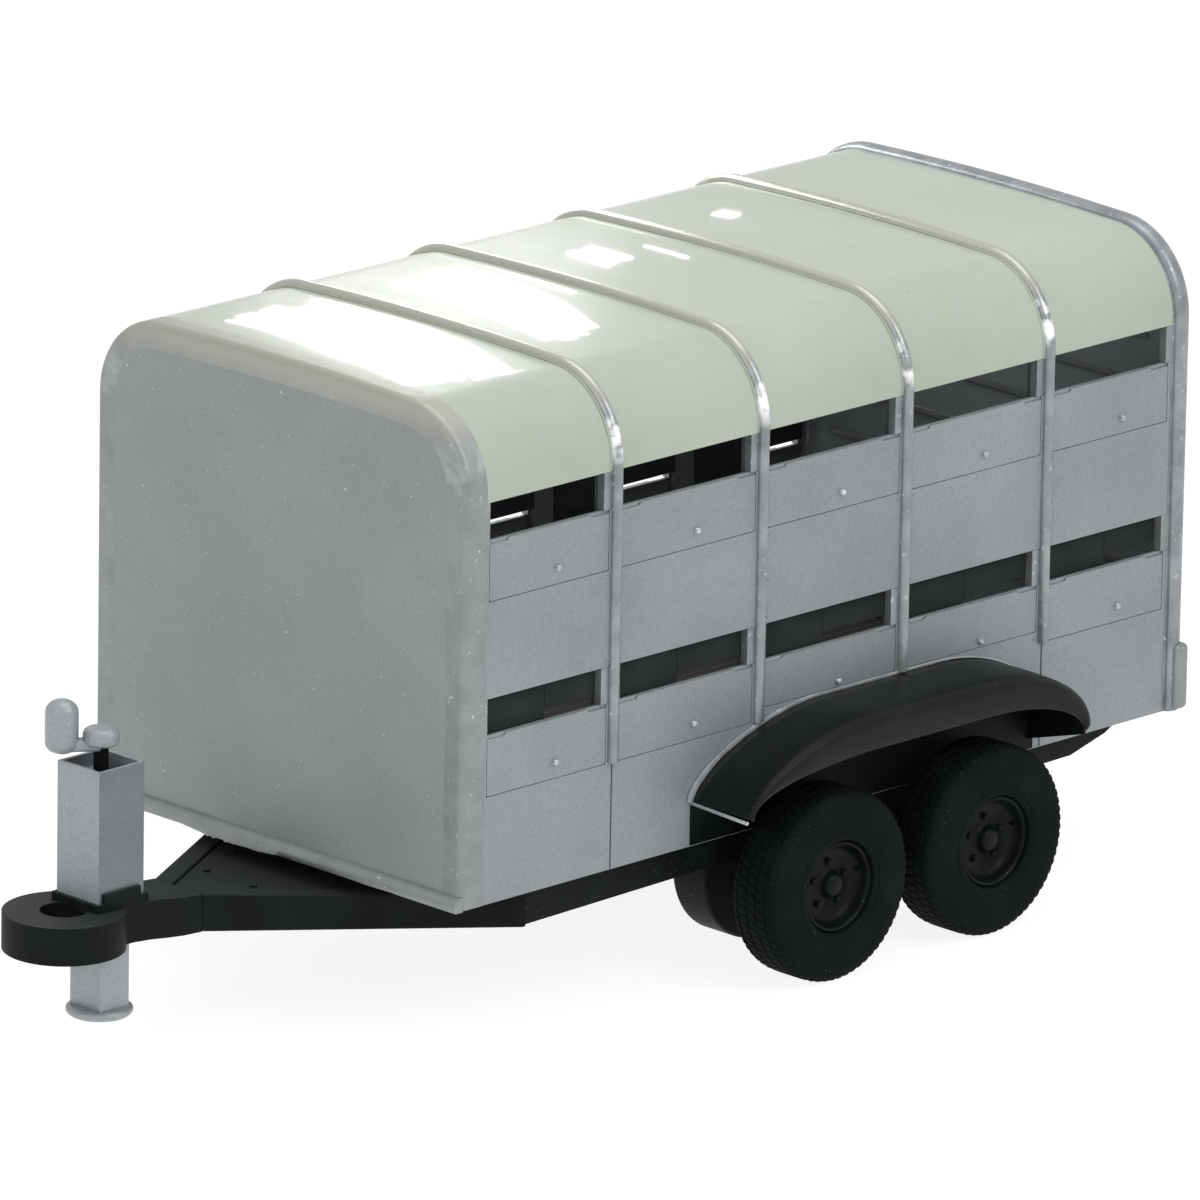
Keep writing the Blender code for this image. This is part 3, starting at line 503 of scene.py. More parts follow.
def dome(centre, axis, radius, height, sign=1, sides=14):
    """A rivet head standing on a face."""
    crown = arc(0, height * 0.25, radius, 0, pi / 2, 3, height * 0.75)
    return lathe([(0, -0.002), (radius, -0.002)] + crown, axis, centre, sides, sign)


def guard_height(y):
    """Height of the mudguard's top line at a place along the body, or 0 beyond it."""
    if y < GUARD_CREST_FRONT:
        share = min(1.0, (GUARD_CREST_FRONT - y) / (GUARD_CREST_FRONT - GUARD_FRONT))
        rise = (1 - share ** 1.6) ** (1 / 1.6)
    elif y > GUARD_CREST_REAR:
        share = min(1.0, (y - GUARD_CREST_REAR) / (GUARD_REAR - GUARD_CREST_REAR))
        rise = sqrt(1 - share ** 2)
    else:
        return GUARD_TOP
    return GUARD_BASE + (GUARD_TOP - GUARD_BASE) * rise if rise > 0 else 0.0


def flap_place(bay, row):
    """Where a vent flap lies: its ends along Y, its foot and its sill."""
    label = "low" if row == "lower" else "high"
    low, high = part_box(f"flap_{label}_left_{bay + 1}")
    return low.y - FRONT_Y, high.y - FRONT_Y, low.z - BOTTOM_Z, high.z - BOTTOM_Z + 0.001


def under_flap(y, z, margin=0.008):
    """True where a flap covers that place on the wall."""
    for row, sill in (("lower", SILL_LOW), ("middle", SILL_HIGH)):
        for bay in range(BAYS):
            y_low, y_high, foot, _ = flap_place(bay, row)
            if y_low - margin < y < y_high + margin and foot - margin < z < sill:
                return True
    return False


# ---------------------------------------------------------------- body shell
def slot_posts(y_low, y_high):
    """The flush posts that end each vent slot."""
    return gather(block(span(sign, 0.915, HALF_WIDTH - 0.0006), (y_low, y_high), (low + 0.0004, high - 0.0004))
                  for _, sign in SIDES
                  for low, high in ((SILL_LOW, SLOT_LOW_TOP), (SILL_HIGH, ROOF_EDGE)))


def front_wall():
    band = FRAME_BAND
    section = [(band, 0.0008), (band - 0.030, 0.0002)]
    section += arc(FRONT_EDGE, FRONT_EDGE, FRONT_EDGE, pi / 2, pi, 12, -FRONT_EDGE)
    section += [(0.0, 0.0998), (0.045, 0.0998), (0.045, 0.060), (band, 0.040)]
    piece("front_corner_frame", arch_band(section, 0.0, foot_steps=24), "corner_bright",
          replaces=("front_hoop",), sharp=50)
    piece("front_corner_posts", slot_posts(0.08, 0.115), "corner_bright", bevel=0.002)

    rings = ((0.12, 0.0016), (0.05, 0.0014), (0.020, 0.0012), (0.0001, 0.0009), (0.0001, SKIN))
    face = sweep([[(x, y, z) for x, z in arch(band + inset, 0.020)] for inset, y in rings])
    piece("front_face", face, "front_alloy", replaces=("front_panel",), sharp=50)
    front_lip()


def front_lip():
    """The rolled lower lip, with a ragged sag of paint right of its middle."""
    width, steps = 0.945, 120
    section = [(0.012, -0.006), (-0.022, -0.006), (-0.031, 0.000), (-0.030, 0.022), (-0.018, 0.038),
               (0.0, 0.049), (0.012, 0.049)]
    rows = []
    for i in range(steps + 1):
        x = -width + 2 * width * i / steps
        rough = 0.002 * noise.noise(Vector((x * 9, 0, 3)))
        near = max(0.0, 1 - abs(x + 0.20) / 0.26)
        sag = 0.013 * min(1.0, 2 * near) * (0.6 + 0.8 * abs(noise.noise(Vector((x * 30, 4, 1)))))
        row = []
        for k, (y, z) in enumerate(section):
            swell = rough if 0 < k < 5 else 0.0
            drop = sag if 0 < k < 3 else 0.0
            row.append((x, min(0.012, max(-0.0395, y + swell - drop * 0.5)),
                        max(-0.0215, z + swell * 0.5 - drop)))
        rows.append(row)
    piece("front_lower_lip", sweep(rows), "corner_bright", sharp=60)


def rib_hoop(index):
    y = BAY * index
    bead = arc(-0.0003, y, BEAD_HEIGHT - 0.0006, pi / 2, 3 * pi / 2, 12, -BEAD_WIDTH / 2)
    foot = max(0.400, guard_height(y) + 0.008)
    piece(f"rib_bead_{index}", arch_band(bead, foot, foot_steps=6), "rib_bright",
          replaces=(f"rib_hoop_{index}",), sharp=60)

    flange = [(-0.0002, y - 0.030), (-0.0022, y - 0.030), (-0.0022, y + 0.030), (-0.0002, y + 0.030)]
    piece(f"rib_roof_flange_{index}", arch_band(flange, ROOF_EDGE + 0.003), "roof_shell", sharp=50)
    inner = [(0.058, y - 0.05), (0.058, y + 0.05), (SKIN + 0.001, y + 0.05), (SKIN + 0.001, y - 0.05)]
    # A dark strip inside the rib, painted shade like the wall's inside.
    piece(f"rib_inner_{index}", arch_band(inner, 0.0270), "inner_wall_shade", sharp=50)
    piece(f"rib_posts_{index}", slot_posts(y - POST_FRONT, y + POST_REAR), "hoop_bright", bevel=0.002)

    rivets = []
    for _, sign in SIDES:
        for z in (0.42, 0.78, 0.92, 1.09, 1.13, 1.32):
            for offset in (-0.040, 0.040):
                at = y + offset * 0.98
                if z > guard_height(y + offset) + 0.02 and not under_flap(at, z):
                    rivets.append(dome((sign * HALF_WIDTH, at, z), "X", 0.0055, 0.0030, sign))
    if rivets:
        piece(f"rib_rivets_{index}", gather(rivets), "hoop_bright", sharp=60)

    if guard_height(y) == 0:
        seam = gather(block(span(sign, HALF_WIDTH - 0.001, HALF_WIDTH + 0.0012),
                            (y - 0.0028, y + 0.0028), (0.004, foot - 0.004)) for _, sign in SIDES)
        piece(f"rib_lower_seam_{index}", seam, "seam_shadow")


def rear_portal():
    front, rear = BODY_LENGTH - 0.080, BODY_LENGTH
    section = [(0.060, front), (0.060, rear - 0.004), (0.056, rear), (0.004, rear)]
    section += arc(0, rear - 0.034, 0.0215, pi / 2, 3 * pi / 2, 12, 0.034)
    section += [(0.0, front)]
    piece("rear_portal_frame", arch_band(section, 0.0, foot_steps=6), "hoop_bright",
          replaces=("rear_portal",), sharp=60)
    piece("rear_portal_posts", slot_posts(rear - 0.110, front + 0.02), "corner_bright", bevel=0.002)
    buffers = gather(block(span(sign, 0.9255, 0.9895), (rear - 0.049, rear + 0.0215), (0.003, 0.254))
                     for _, sign in SIDES)
    piece("rear_corner_buffers", buffers, "corner_bright", bevel=0.022, segments=6)


def roof():
    """The roof skin, with slow waves between the ribs."""
    front, rear, steps = 0.1003, BODY_LENGTH - 0.0803, 96
    outline = arch(0.0, ROOF_EDGE, foot_steps=2)
    inside = arch(SKIN, ROOF_EDGE, foot_steps=2)
    rows = []
    for k in range(steps + 1):
        y = front + (rear - front) * k / steps
        hollow = sin(pi * (y / BAY % 1.0)) ** 2
        row = []
        for x, z in outline:
            inward = 0.0
            if z > ROOF_EDGE + 0.12:
                wave = noise.noise(Vector((x * 1.7, y * 2.3, 1.0)))
                inward = max(0.0, 0.0008 * hollow + 0.0012 * (0.5 + wave))
            away = Vector((0, 1))
            if abs(x) > FLAT_HALF:
                middle = Vector((copysign(FLAT_HALF, x), SHOULDER_TOP - SHOULDER_RADIUS))
                away = (Vector((x, z)) - middle).normalized()
            row.append((x - away[0] * inward, y, z - away[1] * inward))
        rows.append(row + [(x, y, z) for x, z in reversed(inside)])
    piece("roof_shell_skin", sweep(rows), "roof_shell", replaces=("roof_skin",), sharp=60)


def side_planks():
    for side, sign in SIDES:
        for row in ("lower", "middle"):
            node = f"side_{row}_{side}"
            refined(node, f"side_plank_{row}_{side}", "body_alloy", bevel=0.0018)
            low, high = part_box(node)
            panels = []
            for bay in range(BAYS):
                y = (max(BAY * bay + 0.052, 0.106), min(BAY * (bay + 1) - 0.052, BODY_LENGTH - 0.086))
                panels.append(block(span(sign, HALF_WIDTH - SKIN - 0.0035, HALF_WIDTH - SKIN - 0.0006), y,
                                    (max(low.z - BOTTOM_Z + 0.002, 0.034), high.z - BOTTOM_Z - 0.002)))
            # Dark sheets inside each bay: painted shade seen through the slots.
            piece(f"side_inner_shade_{row}_{side}", gather(panels), "inner_wall_shade", bevel=0.001)


def vent_flap(side, sign, row, bay):
    """A folded sheet flap with notched top corners, a hinge strip and a round button."""
    label = "low" if row == "lower" else "high"
    y_low, y_high, foot, sill = flap_place(bay, row)
    node = f"flap_{label}_{side}_{bay + 1}"
    body = f"{node}_leaf"
    outer = HALF_WIDTH - 0.0004
    top = sill - 0.0012
    notch_long, notch_deep, corner, gap = 0.085, 0.011, 0.006, 0.0003
    outline = [(y_low + corner, foot + gap), (y_high - corner, foot + gap),
               (y_high - gap, foot + corner), (y_high - gap, top - notch_deep),
               (y_high - notch_long, top - notch_deep), (y_high - notch_long - 0.012, top),
               (y_low + notch_long + 0.010, top), (y_low + notch_long, top - notch_deep),
               (y_low + gap, top - notch_deep), (y_low + gap, foot + corner)]
    piece(f"{node}_sheet", prism(outline, "X", *span(sign, outer - 0.0078, outer)), "body_alloy", body,
          (node,), bevel=0.0016, segments=3)

    rise = 0.060 if sill - foot > 0.20 else 0.023
    shift = 0.060 if bay == BAYS - 1 else 0.040
    button = [(0, -0.002), (0.0100, -0.002), (0.0100, 0.0015), (0.0062, 0.0030), (0.0058, 0.0065),
              (0.0090, 0.0085), (0.0112, 0.0105), (0.0105, 0.0128), (0.0070, 0.0143), (0, 0.0149)]
    centre = (sign * outer, (y_low + y_high) / 2 + shift, foot + rise)
    piece(f"{node}_button", lathe(button, "X", centre, 20, sign), "bright_trim_painted_highlight", body, sharp=60)

    radius, knuckles, space = 0.0036, 5, 0.002
    length = (y_high - y_low - 2 * notch_long - 0.05) / knuckles
    barrels = []
    for k in range(0, knuckles, 2):
        start = y_low + notch_long + 0.025 + k * length
        ends = start + space, start + length - space
        barrel = [(0, ends[0]), (radius, ends[0]), (radius, ends[1]), (0, ends[1])]
        barrels.append(lathe(barrel, "Y", (sign * (HALF_WIDTH - radius), 0, sill - 0.0044), 10))
    piece(f"{node}_hinge", gather(barrels), "corner_bright", body, sharp=60)


# ---------------------------------------------------------------- rear ramp and floor
def ramp():
    body = "ramp"
    outer, inner = BODY_LENGTH - 0.0085, BODY_LENGTH - 0.0475
    piece("ramp_panel", prism(arch(0.0645, 0.0465), "Y", inner, outer), "body_alloy", body, ("rear_ramp",),
          bevel=0.003)
    ribs = gather(block((x - 0.022, x + 0.022), (outer - 0.003, outer + 0.0065),
                        (0.085, 1.66 if abs(x) < 0.5 else 1.58)) for x in (-0.70, -0.35, 0.0, 0.35, 0.70))
    piece("ramp_outer_ribs", ribs, "corner_bright", body, bevel=0.004, segments=3)
    cleats = []
    for i in range(9):
        z = 0.16 + i * 0.175
        half = 0.80 if z < 1.45 else 0.66
        cleats.append(block((-half, half), (inner - 0.014, inner + 0.003), (z, z + 0.022)))
    piece("ramp_cleats", gather(cleats), "corner_bright", body, bevel=0.003)

    tubes = []
    for low, high in ((-0.820, -0.560), (-0.545, -0.285), (-0.270, 0.270), (0.285, 0.545), (0.560, 0.820)):
        ring = [(0.0100, low), (0.0196, low + 0.0005), (0.0199, low + 0.003), (0.0199, high - 0.003),
                (0.0196, high - 0.0005), (0.0100, high), (0.0100, low)]
        tubes.append(lathe(ring, "X", (0, RAMP_AXIS_Y, RAMP_AXIS_Z), 28))
    piece("ramp_hinge_knuckles", gather(tubes), "stand_zinc", body, sharp=50)
    web = block((-0.82, 0.82), (BODY_LENGTH - 0.0138, RAMP_AXIS_Y - 0.004), (0.030, 0.060))
    piece("ramp_hinge_web", web, "stand_zinc", body, bevel=0.002)
    for side, _ in SIDES:
        node = f"ramp_latch_{side}"
        refined(node, f"ramp_latch_arm_{side}", "stand_zinc", f"{node}_arm", segments=3)
    refined("rear_sill", "rear_sill_beam", "frame_black")


def inner_rails():
    """Rails inside both walls, behind the lower slots, that a dividing deck would rest on, coloured near black
    as painted shade for the slots' insides.
    """
    parts = []
    for _, sign in SIDES:
        x = span(sign, 0.886, 0.918)
        for bay in range(BAYS):
            low = max(BAY * bay + 0.052, 0.125)
            high = min(BAY * (bay + 1) - 0.052, BODY_LENGTH - 0.115)
            middle = low + 0.30
            parts.append(block(x, (low, middle), (0.600, 0.742)))
            parts.append(block(x, (middle + 0.001, high), (0.651, 0.742)))
    piece("inner_deck_rails", gather(parts), "rail_painted_shade", bevel=0.003)


def floor():
    refined("floor_deck", "floor_boards", "deck_alloy", bevel=0.002)
    strips = gather(block((x - 0.006, x + 0.006), (0.12, BODY_LENGTH - 0.10), (0.0290, 0.0330))
                    for x in (-0.92 + 0.23 * i for i in range(1, 8)))
    piece("floor_tread_strips", strips, "corner_bright", bevel=0.0015)


# ---------------------------------------------------------------- running gear
def guard_columns():
    """Stations along a mudguard: Y and Z of its top line, then of its outer lower edge."""
    arc_steps = 25
    crest, rise = (GUARD_CREST_FRONT, GUARD_CREST_REAR), GUARD_TOP - GUARD_BASE
    columns = []
    for i in range(arc_steps + 1):
        angle = pi / 2 * i / arc_steps
        across, up = cos(angle) ** (2 / 1.6), sin(angle) ** (2 / 1.6)
        columns.append((crest[0] - 0.62 * across, GUARD_BASE + rise * up,
                        crest[0] - 0.60 * across, GUARD_BASE - 0.010 + 0.140 * sin(angle) ** 0.8))
    for k in range(1, 8):
        y = crest[0] + (crest[1] - crest[0]) * k / 8
        columns.append((y, GUARD_TOP, y, 0.300))
    for i in range(arc_steps, -1, -1):
        across, up = cos(pi / 2 * i / arc_steps), sin(pi / 2 * i / arc_steps)
        columns.append((crest[1] + 0.54 * across, GUARD_BASE + rise * up,
                        crest[1] + 0.50 * across, GUARD_BASE - 0.025 + 0.155 * up))
    return columns


def guard_shell(side, sign, columns, outer):
    """The curved sheet: a level top, a rounded shoulder and an outer skirt."""
    shape = [(HALF_WIDTH + 0.0012, 0.0, 0.0), (1.00, 0.0016, 0.0), (1.06, 0.0026, 0.0), (1.12, 0.0026, 0.0),
             (1.17, 0.0012, 0.0), (1.205, 0.0, 0.006), (outer - 0.026, 0.0, 0.035),
             (outer - 0.014, 0.0, 0.095), (outer - 0.005, 0.0, 0.20), (outer - 0.001, 0.0, 0.36),
             (outer, 0.0, 0.62), (outer - 0.001, 0.0, 0.92), (outer - 0.004, 0.0, 0.985),
             (outer - 0.010, 0.0, 1.0)]
    points = [(sign * x, y + drop * (low_y - y), z + crown + drop * (low_z - z))
              for y, z, low_y, low_z in columns for x, crown, drop in shape]
    width = len(shape)
    faces = [[a, a + 1, a + width + 1, a + width]
             for i in range(len(columns) - 1) for a in range(i * width, (i + 1) * width - 1)]

    def face_up(work):
        work.normal_update()
        if sum(face.normal.z * face.calc_area() for face in work.faces) < 0:
            bmesh.ops.reverse_faces(work, faces=work.faces)

    mesh = mesh_of(f"mudguard_shell_{side}", (points, faces))
    edited(mesh, face_up)
    shell = dress(mesh, f"mudguard_shell_{side}", "guard_black", "trailer", (f"mudguard_{side}",),
                  sharp=50, fix_normals=False)
    thick = shell.modifiers.new("sheet", 'SOLIDIFY')
    thick.thickness = 0.007
    thick.offset = -1
    thick.use_even_offset = False


def mudguard(side, sign):
    columns = guard_columns()
    outer = GUARD_OUTER - 0.0006
    guard_shell(side, sign, columns, outer)

    path = [(y, z) for y, z, _, _ in columns]
    outline = [(y, z + 0.002) for y, z in path] + [(GUARD_REAR, 0.005), (GUARD_FRONT, 0.005)]
    liner = prism(outline, "X", *span(sign, HALF_WIDTH + 0.0006, HALF_WIDTH + 0.0040))
    piece(f"mudguard_liner_{side}", liner, "frame_black")

    ring = 6
    rows = []
    for k, (y, z) in enumerate(path):
        ahead, behind = path[min(k + 1, len(path) - 1)], path[max(k - 1, 0)]
        along = Vector((ahead[0] - behind[0], ahead[1] - behind[1])).normalized()
        fade = max(0.12, 1.0 - 1.25 * k / len(path))
        fade *= 1.35 + 0.45 * noise.noise(Vector((y * 22, z * 22, 5)))
        row = []
        for j in range(ring):
            angle = 2 * pi * j / ring
            out = 0.0120 * fade * (0.5 + 0.5 * cos(angle))
            up = 0.0135 * fade * sin(angle) + 0.0060
            row.append((sign * (HALF_WIDTH + 0.0008 + out), y - along[1] * up, z + along[0] * up))
        rows.append(row)
    piece(f"mudguard_flange_{side}", sweep(rows), "bright_trim_painted_highlight", sharp=60)

    tip_y, tip_z = 2.872, 0.168
    web = [(HALF_WIDTH + 0.001, tip_z + 0.060), (outer - 0.060, tip_z + 0.044), (outer - 0.014, tip_z),
           (outer - 0.018, tip_z - 0.040), (HALF_WIDTH + 0.001, 0.045)]
    piece(f"mudguard_rear_web_{side}", prism([(sign * x, z) for x, z in web], "Y", tip_y - 0.010, tip_y),
          "guard_black", bevel=0.002)

    steps, radius = 14, 0.007
    y, z = path[0]
    rows = []
    for i in range(steps + 1):
        share = i / steps
        x = sign * (HALF_WIDTH - 0.02 + share * (outer - HALF_WIDTH + 0.004))
        circle = arc(y + 0.004 - 0.004 * share, z - 0.006 - 0.010 * share, radius, 0, 2 * pi, ring)
        rows.append([(x, a, b) for a, b in circle[:-1]])
    piece(f"mudguard_front_lip_{side}", sweep(rows), "bright_trim_painted_highlight", sharp=60)


# Tread rows by kind: how far round its blocks are staggered, and how deep its cuts are
TREAD = {1: (0.0, 0.0050), 2: (0.5, 0.0045), 3: (0.0, 0.0045), 4: (0.5, 0.0045), 5: (0.0, 0.0050)}
GROOVE = 9


def tyre_mesh(name):
    """A tyre about the origin along X, its outer face at +X, with cut tread blocks."""
    half = (TYRE_OUTER - TYRE_INNER) / 2
    rows = [(RIM_RADIUS + 0.0006, 0.016, 0), (RIM_RADIUS + 0.004, 0.007, 0), (0.190, 0.003, 0),
            (0.214, 0.0006, 0), (0.245, 0.0002, 0), (0.290, 0.001, 0), (0.318, 0.004, 0),
            (0.333, 0.0075, 0), (0.343, 0.013, 1), (0.3500, 0.021, 1), (0.3538, 0.034, 1),
            (0.3538, 0.0355, GROOVE), (0.3542, 0.046, GROOVE), (0.3542, 0.0475, 2), (0.3548, 0.064, 2),
            (0.3548, 0.080, 2), (0.3548, 0.0815, GROOVE), (0.3548, 0.0885, GROOVE), (0.3548, 0.090, 3)]
    profile = [(radius, inward - half, kind) for radius, inward, kind in rows]
    profile += [(radius, half - inward, {1: 5, 2: 4}.get(kind, kind)) for radius, inward, kind in rows[::-1]]
    blocks, per_block = 64, 5
    columns = []
    for c in range(blocks * per_block):
        angle = 2 * pi * c / (blocks * per_block)
        column = []
        for radius, x, kind in profile:
            cut = 0.006 if kind == GROOVE else 0.0
            if kind in TREAD and (c / per_block + TREAD[kind][0]) % 1.0 < 0.3:
                cut = TREAD[kind][1]
            column.append((x, (radius - cut) * cos(angle), (radius - cut) * sin(angle)))
        columns.append(column)
    points, faces = sweep(columns + columns[:1])
    count = len(profile)
    last = len(columns)
    faces = [[i % (last * count) for i in face] for face in faces[2:]]
    mesh = bpy.data.meshes.new(name)
    mesh.from_pydata(points[:last * count], [], faces)
    return mesh


def inwards(profile):
    """A wheel profile whose heights are depths behind the tyre's outer face."""
    return [(radius, TYRE_OUTER - depth) for radius, depth in profile]


def wheel(place_name, side, sign, y):
    body = f"wheel_{place_name}_{side}"
    ending = f"{place_name}_{side}"
    hub = (0, y, AXLE_Z)
    out = TYRE_OUTER
    turn = Matrix.Rotation(0.0 if sign > 0 else pi, 4, 'Z')
    mesh = tyre_mesh(f"tyre_tread_{ending}")
    mesh.transform(Matrix.Translation(place(sign * TYRE_MIDDLE, y, AXLE_Z)) @ turn)
    dress(mesh, f"tyre_tread_{ending}", "tyre_rubber", body, (f"tyre_{ending}",), sharp=32)

    rings = []
    for radius, width, face in ((0.200, 0.004, out), (0.292, 0.003, out - 0.0006)):
        ring = [(radius - width, face - 0.004), (radius - width * 0.5, face - 0.0002),
                (radius + width * 0.5, face - 0.0002), (radius + width, face - 0.004),
                (radius - width, face - 0.004)]
        rings.append(lathe(ring, "X", hub, 96, sign))
    piece(f"tyre_rings_{ending}", gather(rings), "tyre_rubber", body, sharp=40)

    dish = [(0, 0.0245), (0.022, 0.0250), (0.034, 0.0285), (0.041, 0.036), (0.045, 0.048),
            (0.049, 0.060), (0.056, 0.0645), (0.075, 0.0700), (0.098, 0.0738), (0.116, 0.0720),
            (0.130, 0.0655), (0.140, 0.0550), (0.1465, 0.040), (0.1505, 0.024), (0.154, 0.0165),
            (0.158, 0.0140), (0.163, 0.0150), (0.1665, 0.0180), (0.1695, 0.022),
            (0.1695, out - TYRE_INNER - 0.016), (0.156, out - TYRE_INNER - 0.016), (0.150, 0.082),
            (0.100, 0.090), (0.060, 0.090), (0.060, 0.158), (0.034, 0.158), (0.034, 0.098), (0, 0.098)]
    piece(f"rim_dish_{ending}", lathe(inwards(dish), "X", hub, 72, sign), "rim_black", body,
          (f"rim_{ending}",), sharp=40)

    nut = inwards([(0, 0.080), (0.0125, 0.080), (0.0125, 0.062), (0.010, 0.0585), (0.0065, 0.057),
                   (0, 0.057)])
    washer = inwards([(0, 0.082), (0.0155, 0.082), (0.0155, 0.0685), (0, 0.0685)])
    valve = inwards([(0, 0.070), (0.004, 0.070), (0.004, 0.038), (0.0028, 0.034), (0, 0.034)])
    studs, circle = 5, 0.082
    fittings = []
    for a, b in arc(y, AXLE_Z, circle, pi / 10, 2.1 * pi, studs)[:-1]:
        fittings += [lathe(nut, "X", (0, a, b), 6, sign), lathe(washer, "X", (0, a, b), 18, sign)]
    fittings.append(lathe(valve, "X", (0, y + 0.128, AXLE_Z + 0.030), 10, sign))
    piece(f"wheel_nuts_{ending}", gather(fittings), "rim_black", body, sharp=30)


def suspension(side, sign):
    radius = 0.2826
    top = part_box(f"suspension_{side}")[1].z - BOTTOM_Z - 0.0005
    rise = asin((top - AXLE_Z) / radius)
    outline = arc(AXLES[0][1], AXLE_Z, radius, pi - rise, 1.5 * pi, 32)
    outline += arc(AXLES[1][1], AXLE_Z, radius, -pi / 2, rise, 32)
    piece(f"suspension_hanger_{side}", prism(outline, "X", *span(sign, 0.6705, 0.8395)), "frame_black",
          replaces=(f"suspension_{side}",), bevel=0.012, segments=4)
    boss = [(0, 0.835), (0.062, 0.835), (0.062, 0.848), (0.055, 0.854), (0.0335, 0.856), (0, 0.856)]
    bolt = [(0, 0.835), (0.011, 0.835), (0.011, 0.849), (0.008, 0.852), (0, 0.852)]
    caps = []
    for _, y in AXLES:
        caps.append(lathe(boss, "X", (0, y, AXLE_Z), 36, sign))
        for a, b in arc(y, AXLE_Z, 0.092, pi / 4, 2.25 * pi, 4)[:-1]:
            caps.append(lathe(bolt, "X", (0, a, b), 6, sign))
    piece(f"suspension_bosses_{side}", gather(caps), "frame_black", sharp=35)


def axle(name, y):
    end = TYRE_OUTER - 0.101
    half = [(0.0322, 0.986), (0.120, 0.986), (0.131, 0.991), (0.135, 1.000), (0.135, 1.0175),
            (0.110, 1.0175), (0.0322, 1.0175), (0.0322, end), (0, end)]
    beam = lathe([(r, -h) for r, h in half[::-1]] + half, "X", (0, y, AXLE_Z), 48)
    piece(f"axle_beam_{name}", beam, "frame_black", replaces=(f"axle_{name}",), sharp=35)


# ---------------------------------------------------------------- drawbar and stand
def plate_top(y):
    """Height of the drawbar's gusset plate, which falls towards the rear."""
    return -0.0400 - 0.0665 * (y + 0.52)


def drawbar():
    rails = refined("chassis_frame", "chassis_rails", "frame_black", bevel=0.006, segments=3)
    for vertex in rails.data.vertices:
        at = vertex.co - ORIGIN
        if at.y < 0.40 and at.z < -0.10:
            vertex.co.z -= 0.019
        elif at.y > 2.95 and at.z < -0.04:
            vertex.co.z += 0.028

    slope, wide = 0.614, 0.093
    for side, sign in SIDES:
        rows = []
        for y in (-0.4696, 0.0, 0.27, 0.530):
            edge = 0.127 + slope * (y + 0.47)
            low, high = -0.168 - 0.0515 * (y + 0.56), plate_top(y) + 0.0097
            corners = ((edge, low), (edge, high), (edge - wide, high), (edge - wide, low))
            rows.append([(sign * x, y, z) for x, z in corners])
        piece(f"drawbar_member_{side}", sweep(rows), "frame_black", replaces=(f"drawbar_arm_{side}",),
              bevel=0.010, segments=4)
    tow_ring()

    clamp_low, clamp_high, out, thick = -0.012, 0.030, 0.1225, 0.014
    side_y = (STAND_Y - out + thick - 0.0005, STAND_Y + out - thick + 0.0005)
    collar = gather([block((-out, out), (STAND_Y - out, STAND_Y - out + thick), (clamp_low, clamp_high)),
                     block((-out, out), (STAND_Y + out - thick, STAND_Y + out), (clamp_low, clamp_high)),
                     block((-out, -out + thick), side_y, (clamp_low, clamp_high)),
                     block((out - thick, out), side_y, (clamp_low, clamp_high))])
    piece("stand_collar", collar, "frame_black", bevel=0.006, segments=3)
    clamps = gather(block(span(sign, 0.1083, 0.1238), (STAND_Y - 0.094, STAND_Y + 0.084), (-0.020, 0.0655))
                    for _, sign in SIDES)
    piece("stand_clamp_plates", clamps, "frame_black", bevel=0.006, segments=3)

    narrow = 0.127 - wide - 0.0006
    outline = [(narrow, NECK_END - 0.02), (narrow, NECK_END), (narrow + slope * (0.36 - NECK_END), 0.36)]
    outline += [(-x, y) for x, y in outline[::-1]]
    plate = sweep([[(x, y, plate_top(y) - drop) for x, y in outline] for drop in (0.022, 0)])
    piece("drawbar_gusset_plate", plate, "frame_black", bevel=0.002)
    bolts = []
    for x, y in ((-0.12, -0.22), (0.12, -0.22), (-0.26, 0.04), (0.26, 0.04)):
        head = [(0, -0.004), (0.014, -0.004), (0.014, 0.006), (0.011, 0.009), (0, 0.009)]
        bolts.append(lathe(head, "Z", (x, y, plate_top(y)), 6))
    piece("gusset_bolts", gather(bolts), "frame_black", sharp=30)


def tow_ring():
    """The coupling ring and its neck in one casting, with the stand's square guide cut through."""
    neck_half, root, through = 0.1248, RING_CENTRE + 0.12, 0.3
    ring = arc(0, RING_CENTRE, RING_RADIUS, 0, 2 * pi, 96)[:-1]
    hole = arc(0, RING_CENTRE, RING_HOLE, 0, 2 * pi, 64)[:-1]
    profile = [(root, RING_BOTTOM), (root + 0.10, RING_BOTTOM), (-0.72, -0.1475), (-0.64, -0.1585),
               (-0.56, -0.1675), (NECK_END, -0.1725), (NECK_END, -0.0336), (-0.56, -0.0260),
               (-0.65, -0.0120), (-0.735, RING_TOP), (root, RING_TOP)]
    guide = block((-0.0800, 0.0800), (STAND_Y - 0.0690, STAND_Y + 0.0690), (-through, through))
    mesh = carved(solid(prism(ring, "Z", RING_BOTTOM, RING_TOP)),
                  (solid(prism(profile, "X", -neck_half, neck_half)),),
                  (solid(prism(hole, "Z", -through, through)), solid(guide)))
    dress(mesh, "tow_ring_body", "frame_black", "trailer", ("coupling_ring",), sharp=40,
          bevel=0.018, segments=6)


